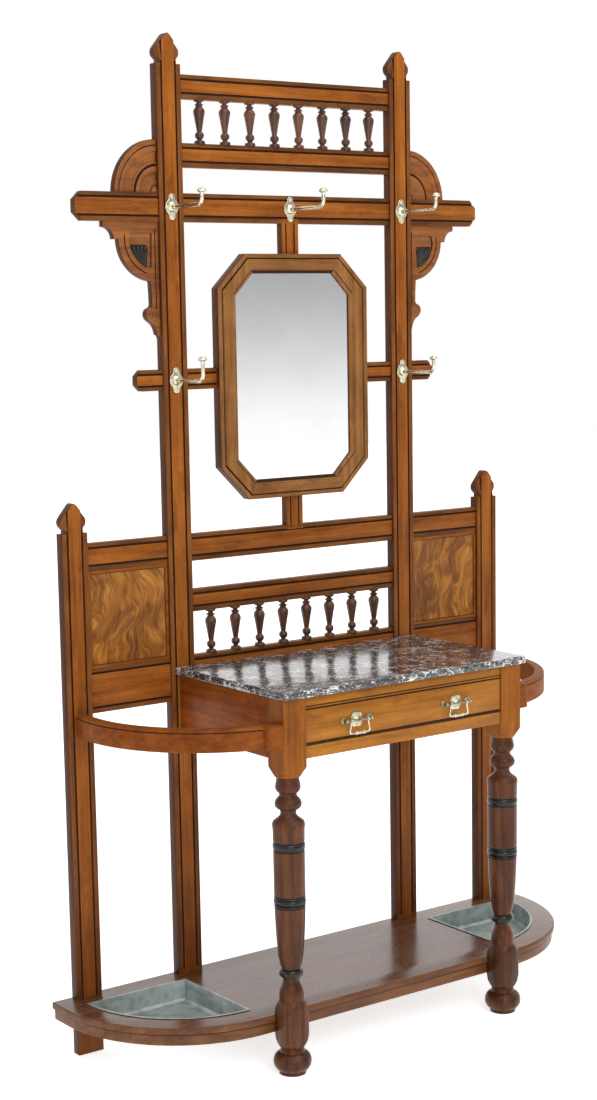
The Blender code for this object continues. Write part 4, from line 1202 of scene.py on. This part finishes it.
legs = {
    "block": 0.028, "steps": 40,
    "shape": (  # radius and height, from the upper block down to the floor
        (0.0, 0.6450), (0.0230, 0.6450), (0.0235, 0.6230), (0.0250, 0.6160), (0.0262, 0.6090),
        (0.0262, 0.6045), (0.0240, 0.5990), (0.0195, 0.5950), (0.0182, 0.5915), (0.0186, 0.5880),
        (0.0225, 0.5840), (0.0265, 0.5790), (0.0281, 0.5725), (0.0270, 0.5665), (0.0232, 0.5622),
        (0.0180, 0.5595), (0.0164, 0.5540), (0.0166, 0.5500), (0.0200, 0.5450), (0.0260, 0.5405),
        (0.0318, 0.5360), (0.0338, 0.5310), (0.0340, 0.5250), (0.0330, 0.5190), (0.0327, 0.5000),
        (0.0326, 0.4945), (0.0300, 0.4935), (0.0300, 0.4918), (0.0322, 0.4908), (0.0334, 0.4885),
        (0.0338, 0.4840), (0.0334, 0.4795), (0.0322, 0.4772), (0.0300, 0.4762), (0.0300, 0.4745),
        (0.0326, 0.4735), (0.0325, 0.4250), (0.0324, 0.3810), (0.0300, 0.3800), (0.0300, 0.3788),
        (0.0318, 0.3780), (0.0328, 0.3768), (0.0328, 0.3758), (0.0318, 0.3746), (0.0304, 0.3738),
        (0.0318, 0.3728), (0.0332, 0.3708), (0.0336, 0.3680), (0.0332, 0.3652), (0.0318, 0.3632),
        (0.0304, 0.3622), (0.0318, 0.3614), (0.0328, 0.3602), (0.0328, 0.3592), (0.0316, 0.3580),
        (0.0298, 0.3572), (0.0298, 0.3558), (0.0320, 0.3550), (0.0308, 0.3200), (0.0290, 0.2860),
        (0.0262, 0.2520), (0.0226, 0.2340), (0.0194, 0.2260), (0.0192, 0.2235), (0.0228, 0.2228),
        (0.0244, 0.2200), (0.0248, 0.2150), (0.0242, 0.2105), (0.0222, 0.2080), (0.0180, 0.2062),
        (0.0166, 0.2030), (0.0166, 0.2000), (0.0180, 0.1940), (0.0208, 0.1865), (0.0238, 0.1800),
        (0.0252, 0.1700), (0.0254, 0.1560), (0.0246, 0.1490), (0.0230, 0.1430), (0.0230, 0.0600),
        (0.0236, 0.0560), (0.0250, 0.0520), (0.0256, 0.0480), (0.0262, 0.0460), (0.0330, 0.0430),
        (0.0374, 0.0380), (0.0396, 0.0310), (0.0400, 0.0250), (0.0388, 0.0180), (0.0352, 0.0120),
        (0.0316, 0.0085), (0.0290, 0.0070), (0.0284, 0.0), (0.0, 0.0),
    ),
    "rings": ((0.4752, 0.4930), (0.3560, 0.3796), (0.2085, 0.2232)),
    "upperBlock": (
        (0.0, 0.820), (0.0450, 0.820), (0.0450, 0.6560), (0.0410, 0.6500), (0.0365, 0.6435),
        (0.0325, 0.6380), (0.0292, 0.6330), (0.0272, 0.6290), (0.0, 0.6290),
    ),
    "lowerBlock": (
        (0.0, 0.1600), (0.0235, 0.1600), (0.0262, 0.1560), (0.0305, 0.1490), (0.0340, 0.1400),
        (0.0355, 0.1290), (0.0356, 0.0850), (0.0335, 0.0720), (0.0295, 0.0630), (0.0255, 0.0560),
        (0.0, 0.0560),
    ),
}


def makeLeg(side, hand):
    node = f"front_leg_{hand.lower()}"
    low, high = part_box(node)
    x, y = (low.x + high.x) / 2, (low.y + high.y) / 2
    shaft = turned("shaft", legs["shape"], (x, y, 0), steps=legs["steps"])
    paint(shaft, "walnutLeg", ("ebonised", lambda at, n: any(a < at.z < b for a, b in legs["rings"])))
    half = legs["block"]
    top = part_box("case_rail_upper")[1].z
    pieces = [shaft]
    for finish, lathe in (("walnutBlock", legs["upperBlock"]), ("walnutLeg", legs["lowerBlock"])):
        heights = [z for radius, z in lathe]
        ceiling = min(max(heights), top)
        cube = block("cube", (x - half, y - half, min(heights)), (x + half, y + half, ceiling))
        # the square is spun on the lathe, so its ends are cut to arched shoulders
        solid = turned("solid", lathe, (x, y, 0), steps=legs["steps"])
        cutAway(cube, solid, "INTERSECT")
        paint(cube, finish)
        pieces.append(eased(cube, 0.0012, 2, 60))
    keep(joined(f"frontLeg{hand}", pieces), "stand", "dark_walnut", node, smooth=44)


for side, hand in hands:
    makeLeg(side, hand)
print("legs made")


# Marble top

marble = {"cornerRound": 0.011, "topRound": 0.0060, "underRound": 0.0035}
low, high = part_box("marble_top")
slab = block("marbleSlab", low, high)
edit(slab)
bevelled(
    slab, lambda a, b: abs(a.z - b.z) > 0.01 and a.y < (low.y + high.y) / 2, marble["cornerRound"], 6,
)
bevelled(slab, lambda a, b: min(a.z, b.z) > high.z - 0.0001, marble["topRound"], 5)
bevelled(slab, lambda a, b: max(a.z, b.z) < low.z + 0.0001, marble["underRound"], 3)
finishEdit()
paint(slab, "marbleStone")
keep(slab, "stand", "marble", "marble_top", smooth=35)


# Case, drawer and pulls

case = {
    "railLine": 0.0018, "wall": 0.016, "runnerLow": 0.014, "runnerHigh": 0.0295, "runnerReach": 0.078,
}
for node, name in (("case_rail_upper", "caseRailUpper"), ("case_rail_lower", "caseRailLower")):
    low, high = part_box(node)
    rail = block(name, low, high)
    upper = name.endswith("Upper")
    line = low.z + case["railLine"] if upper else high.z - case["railLine"]
    edit(rail)
    scribe(rail, "Z", (line,), front)
    finishEdit()
    paint(
        rail, "walnutDrawer",
        # a dark line along the edge beside the drawer: stain with painted shade
        ("grooveStainAndShade", lambda at, n: front(at, n) and (at.z < line if upper else at.z > line)),
        ("walnutEnd", lambda at, n: n.y > 0.5),
    )
    keep(eased(rail, 0.0009), "stand", "walnut", node)

for side, hand in hands:
    node = f"case_side_{hand.lower()}"
    low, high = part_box(node)
    outside = high.x if side > 0 else -low.x
    inside, reach = outside - case["wall"], outside - case["runnerReach"]
    runnerHigh, runnerLow = low.z + case["runnerHigh"], low.z + case["runnerLow"]
    section = [
        (outside, low.z), (outside, high.z), (inside, high.z), (inside, runnerHigh), (reach, runnerHigh),
        (reach, runnerLow), (inside, runnerLow), (inside, low.z),
    ]
    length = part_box("marble_top")[1].y - low.y
    panel = board(f"caseSide{hand}", [(side * x, low.y, z) for x, z in section], (0, length, 0))

    def onRunner(at, normal):
        return abs(at.x) < inside - near and abs(at.z - runnerLow) < case["runnerHigh"] + 0.0005

    paint(panel, "walnutCase", ("deal", onRunner))
    keep(eased(panel, 0.0012), "stand", "dark_walnut", node)

drawer = {
    "bandLow": 0.0052, "bandHigh": 0.0066, "edge": 0.0028, "step": 0.0014, "raise": 0.0006,
    "wall": 0.010, "inside": 0.062,
}
low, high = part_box("drawer_front")
panel = block("drawerFront", low, high)
edit(panel)
bandLow, bandHigh, edgeHigh = low.z + drawer["bandLow"], high.z - drawer["bandHigh"], high.z - drawer["edge"]
scribe(panel, "Z", (bandLow, bandHigh, edgeHigh), front)
scribe(panel, "X", (low.x + drawer["edge"], high.x - drawer["edge"]), front)
pick(panel, lambda at, n: front(at, n) and bandLow < at.z < bandHigh and abs(at.x) < high.x - drawer["edge"])
inset(drawer["step"])
moveBy((0, -drawer["raise"], 0))
finishEdit()
paint(
    panel, "walnutDrawer",
    # dark strips beside the raised band and along the top edge: stain with painted shade
    ("grooveStainAndShade", lambda at, n: n.y < -0.5 and (at.z < bandLow or bandHigh < at.z < edgeHigh)),
    # the drawer front's top and bottom edges painted darker: painted shade
    ("walnutSide", lambda at, n: abs(n.z) > 0.9 and not low.z + 0.0005 < at.z < high.z - 0.0005),
    ("deal", rear),
)
keep(eased(panel, 0.0008), "drawer", "walnut", "drawer_front")

drawerBox = block("drawerBox", *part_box("drawer_box"))
edit(drawerBox)
pick(drawerBox, above)
inset(drawer["wall"])
extrude((0, 0, -drawer["inside"]))
finishEdit()
paint(drawerBox, "deal")
keep(eased(drawerBox, 0.0012), "drawer", "deal", "drawer_box")

pulls = {
    "plate": 0.0022, "plateRound": 0.0240, "plateSlip": 0.0085, "postX": 0.0325, "pin": 0.0019,
    "pinHalf": 0.0345, "hingeIn": 0.0045, "roundel": 0.0125,
    "rosette": (
        (0.0, -0.0036), (0.0022, -0.0034), (0.0034, -0.0026), (0.0044, -0.0018), (0.0056, -0.0024),
        (0.0068, -0.0022), (0.0078, -0.0010), (0.0080, 0.0004), (0.0, 0.0004),
    ),
    "centre": (
        (0.0, -0.0046), (0.0028, -0.0043), (0.0046, -0.0034), (0.0058, -0.0020), (0.0072, -0.0018),
        (0.0084, -0.0028), (0.0100, -0.0028), (0.0114, -0.0014), (0.0120, 0.0004), (0.0, 0.0004),
    ),
    "post": (
        (0.0, -0.0152), (0.0024, -0.0148), (0.0036, -0.0134), (0.0038, -0.0120), (0.0032, -0.0104),
        (0.0024, -0.0094), (0.0024, -0.0050), (0.0032, -0.0030), (0.0040, -0.0022), (0.0, -0.0018),
    ),
}
bails = {
    "topHalf": 0.0220, "bottomHalf": 0.0258, "drop": 0.0265, "corner": 0.0050, "knopX": 0.0105,
    "eye": (
        (0.0027, -0.0019), (0.0042, -0.0019), (0.0046, 0.0), (0.0042, 0.0019), (0.0027, 0.0019),
        (0.0027, -0.0019),
    ),
    "knop": ((0.0, -0.0024), (0.0034, -0.0020), (0.0041, 0.0), (0.0034, 0.0020), (0.0, 0.0024)),
}


def makePull(hand):
    node = f"pull_{hand.lower()}"
    low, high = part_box(node)
    centre, height, back = (low.x + high.x) / 2, (low.z + high.z) / 2, high.y
    face = back - pulls["plate"]
    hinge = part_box(f"bail_{hand.lower()}")[0].y + pulls["hingeIn"]
    outline = arc((-pulls["plateSlip"], 0), pulls["plateRound"], -40, 40, 12)
    outline += arc((pulls["plateSlip"], 0), pulls["plateRound"], 140, 220, 12)
    outline = [(centre + x, height + z) for x, z in outline]
    plate = eased(board("plate", upright2d(outline, face), (0, pulls["plate"], 0)), 0.0009, 3, 30)
    pieces = [plate, turned("centre", pulls["centre"], (centre, face, height), "Y", 28)]
    for across in (-pulls["postX"], pulls["postX"]):
        pieces.append(turned("rosette", pulls["rosette"], (centre + across, back - 0.0006, height), "Y", 26))
        pieces.append(turned("post", pulls["post"], (centre + across, back - 0.0005, height), "Y", 20))
    pin, half, out = pulls["pin"], pulls["pinHalf"], hinge - face
    pieces.append(turned("pin", (
        (0.0, -half), (pin, -half + 0.0003), (pin, half - 0.0003), (0.0, half),
    ), (centre, hinge, height), "X", 16))
    pieces.append(turned("middlePost", (
        (0.0, out - 0.0026), (0.0020, out - 0.0022), (0.0028, out), (0.0022, out + 0.003),
        (0.0020, -0.006), (0.0030, -0.003), (0.0, -0.002),
    ), (centre, face, height), "Y", 18))

    def onRoundel(at, normal):
        return math.hypot(at.x - centre, at.z - height) < pulls["roundel"] and at.y > hinge + 0.004

    pull = paint(joined(f"pull{hand}", pieces), "agedBrass", ("palebrass", onRoundel))
    keep(pull, "drawer", "brass", node, smooth=50)
    return centre, hinge, height


def makeBail(hand, centre, hinge, height):
    node = f"bail_{hand.lower()}"
    topHalf, bottomHalf, drop, corner = bails["topHalf"], bails["bottomHalf"], bails["drop"], bails["corner"]
    route = [(-topHalf, -0.0030), (-topHalf - 0.0010, -0.0090), (-bottomHalf + 0.0006, -drop + corner)]
    route += arc((-bottomHalf + corner + 0.0002, -drop + corner), corner, 188, 268, 5)
    route += [(-0.0150, -drop), (-0.0080, -drop), (0.0, -drop)]
    widths = [0.0022, 0.0019, 0.0020] + [0.0021] * 6 + [0.0023, 0.0030, 0.0033]
    route += [(-x, z) for x, z in route[-2::-1]]
    handle = bar("handle", [(centre + x, hinge, height + z) for x, z in route], widths + widths[-2::-1])
    pieces = [handle]
    for across in (-topHalf, topHalf):
        pieces.append(turned("eye", bails["eye"], (centre + across, hinge, height), "X", 20))
    for across in (-bails["knopX"], bails["knopX"]):
        pieces.append(turned("knop", bails["knop"], (centre + across, hinge, height - drop), "X", 18))
    keep(paint(joined(f"bail{hand}", pieces), "palebrass"), node, "brass", node, smooth=50)


for side, hand in hands:
    makeBail(hand, *makePull(hand))
print("case and drawer made")


# Umbrella rails

rings = {
    "x": 0.280, "behind": 0.062, "inner": 0.2785, "outer": 0.302, "steps": 48, "first": -84.5, "last": 13.0,
    "line": 0.0068, "lineDepth": 0.0014, "underStep": 0.0005, "topStep": 0.004,
    # the rounded top edges: in from the side, and down from the top
    "roundTop": ((0.0, 0.0042), (0.0008, 0.0020), (0.0026, 0.0004), (0.0050, 0.0)),
}
knuckles = {  # the end that lands on the leg, and how far its edges are rounded
    "past": 0.026, "reach": 0.3498, "deep": 0.0395, "end": 0.0150, "top": 0.0060, "under": 0.0020,
}


def makeRing(side, hand):
    node = f"umbrella_rail_{hand.lower()}"
    low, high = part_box(node)
    centre = Vector((side * rings["x"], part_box("stile_outer_left")[0].y - rings["behind"], 0))
    bottom, top = low.z + rings["underStep"], high.z - rings["topStep"]
    inner, outer, deep = rings["inner"], rings["outer"], rings["lineDepth"]
    line = top - rings["line"]
    section = [
        (inner, bottom + 0.002), (inner + 0.002, bottom), (outer - 0.002, bottom), (outer, bottom + 0.002),
        (outer, line - 0.0024), (outer - deep, line - 0.0016), (outer - deep, line - 0.0004), (outer, line),
    ]
    section += [(outer - across, top - down) for across, down in rings["roundTop"]]
    section += [(inner + across, top - down) for across, down in rings["roundTop"][::-1]]
    first, last = math.radians(rings["first"]), math.radians(rings["last"])
    ray = Vector((side * math.cos(first), math.sin(first), 0))
    hoop = sheetOf(f"hoop{hand}", [centre + ray * radius + Vector((0, 0, z)) for radius, z in section])
    bpy.ops.mesh.spin(steps=rings["steps"], angle=side * (first - last), center=centre, axis=(0, 0, 1))
    closeShape(hoop)

    def inLine(at, normal):
        radius = math.hypot(at.x - centre.x, at.y - centre.y)
        return radius > outer - deep - near and line - 0.0022 < at.z < line - 0.0001 and abs(normal.z) < 0.95

    # the line round the hoop painted dark: stain with painted shade
    paint(hoop, "walnutRing", ("grooveStainAndShade", inLine))

    legLow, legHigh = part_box("front_leg_left")
    reach = knuckles["reach"]
    ends = [side * (knuckles["past"] - (legLow.x + legHigh.x) / 2), side * reach]
    knuckle = block("knuckle", (min(ends), low.y, low.z), (max(ends), low.y + knuckles["deep"], high.z))
    edit(knuckle)
    bevelled(knuckle, lambda a, b: abs(a.z - b.z) > 0.03 and abs(a.x) > reach - near, knuckles["end"], 8)
    bevelled(knuckle, above, knuckles["top"], 5, "FACE")
    bevelled(knuckle, below, knuckles["under"], 2, "FACE")
    finishEdit()
    paint(knuckle, "walnutRing")
    keep(joined(f"umbrellaRail{hand}", [hoop, knuckle]), "stand", "walnut", node, smooth=40)


for side, hand in hands:
    makeRing(side, hand)
print("umbrella rails made")


# Shelf and drip trays

shelf = {
    "x": 0.340, "radius": 0.303, "centreY": 0.154, "backStep": 0.0012, "steps": 28,
    "nosing": 0.022, "nosingTop": 0.0042, "nosingUnder": 0.0050, "apronInset": 0.0055, "apronEase": 0.0015,
}
trays = {
    "x": 0.344, "radius": 0.248, "steps": 26, "holeInset": 0.0026, "lip": 0.0047, "sheet": 0.0012,
    "floorUp": 0.0020, "cove": 0.006, "coveIn": 0.0045,
}


def bowed(shrink, back):
    radius = shelf["radius"] - shrink
    right = [(shelf["x"] + radius, back)]
    right += arc((shelf["x"], shelf["centreY"]), radius, 0, -90, shelf["steps"])
    return right[::-1] + mirrored(right, -1)


def quadrant(shrink, side):
    # the tray's quarter round, made this much smaller all round
    radius = trays["radius"] - shrink
    slip = math.degrees(math.asin(shrink / radius))
    corner = [(trays["x"] + shrink, shelf["centreY"] - shrink)]
    curve = arc((trays["x"], shelf["centreY"]), radius, -slip, slip - 90, trays["steps"])
    return mirrored(corner + curve, side)


def makeShelf():
    low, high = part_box("shelf")
    back = high.y - shelf["backStep"]
    nosing = low.z + shelf["nosing"]
    top = board("shelfTop", flat2d(bowed(0, back), nosing), (0, 0, high.z - nosing))
    apron = board("apron", flat2d(bowed(shelf["apronInset"], back), low.z), (0, 0, nosing - low.z + 0.002))

    def bow(a, b):
        return not (a.y > back - near and b.y > back - near)

    edit(top)
    bevelled(top, lambda a, b: min(a.z, b.z) > high.z - 0.0001 and bow(a, b), shelf["nosingTop"], 4)
    bevelled(top, lambda a, b: max(a.z, b.z) < nosing + 0.0001 and bow(a, b), shelf["nosingUnder"], 4)
    edit(apron)
    bevelled(apron, lambda a, b: max(a.z, b.z) < low.z + 0.0001, shelf["apronEase"], 2)
    finishEdit()
    for side, hand in hands:
        hole = flat2d(quadrant(trays["holeInset"], side), low.z - 0.03)
        for piece in (top, apron):
            cutAway(piece, board("hole", hole, (0, 0, 0.12)))
    paint(
        # the top face in the greyer walnut: painted sheen
        top, "walnutShelf",
        ("walnutShelfEdge", lambda at, n: n.z < 0.86),
        # the underside of the nosing painted dark: painted shadow under the overhang
        ("grooveStainAndShade", lambda at, n: at.z < nosing + 0.0030),
    )
    paint(apron, "walnutShelfEdge", ("walnutEnd", below))
    keep(joined("baseShelf", [top, apron]), "stand", "walnut", "shelf", smooth=35)


makeShelf()


def makeTray(side, hand):
    node = f"drip_tray_{hand.lower()}"
    low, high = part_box(node)
    tray = sheetOf(f"dripTray{hand}", flat2d(quadrant(0, side), high.z))
    inset(trays["lip"])
    extrude((0, 0, low.z + trays["floorUp"] - high.z + trays["cove"]))
    inset(trays["coveIn"])
    moveBy((0, 0, -trays["cove"]))
    turnOut()
    shape = bmesh.from_edit_mesh(tray.data)
    if sum(f.normal.z * f.calc_area() for f in shape.faces) < 0:
        bpy.ops.mesh.flip_normals()
    finishEdit()
    applied(tray, "SOLIDIFY", thickness=trays["sheet"], offset=-1, use_even_offset=True)
    eased(tray, 0.0005, 2, 30)
    keep(paint(tray, "galvanised"), f"tray_{hand.lower()}", "zinc", node, smooth=40)


for side, hand in hands:
    makeTray(side, hand)
print("shelf and trays made")
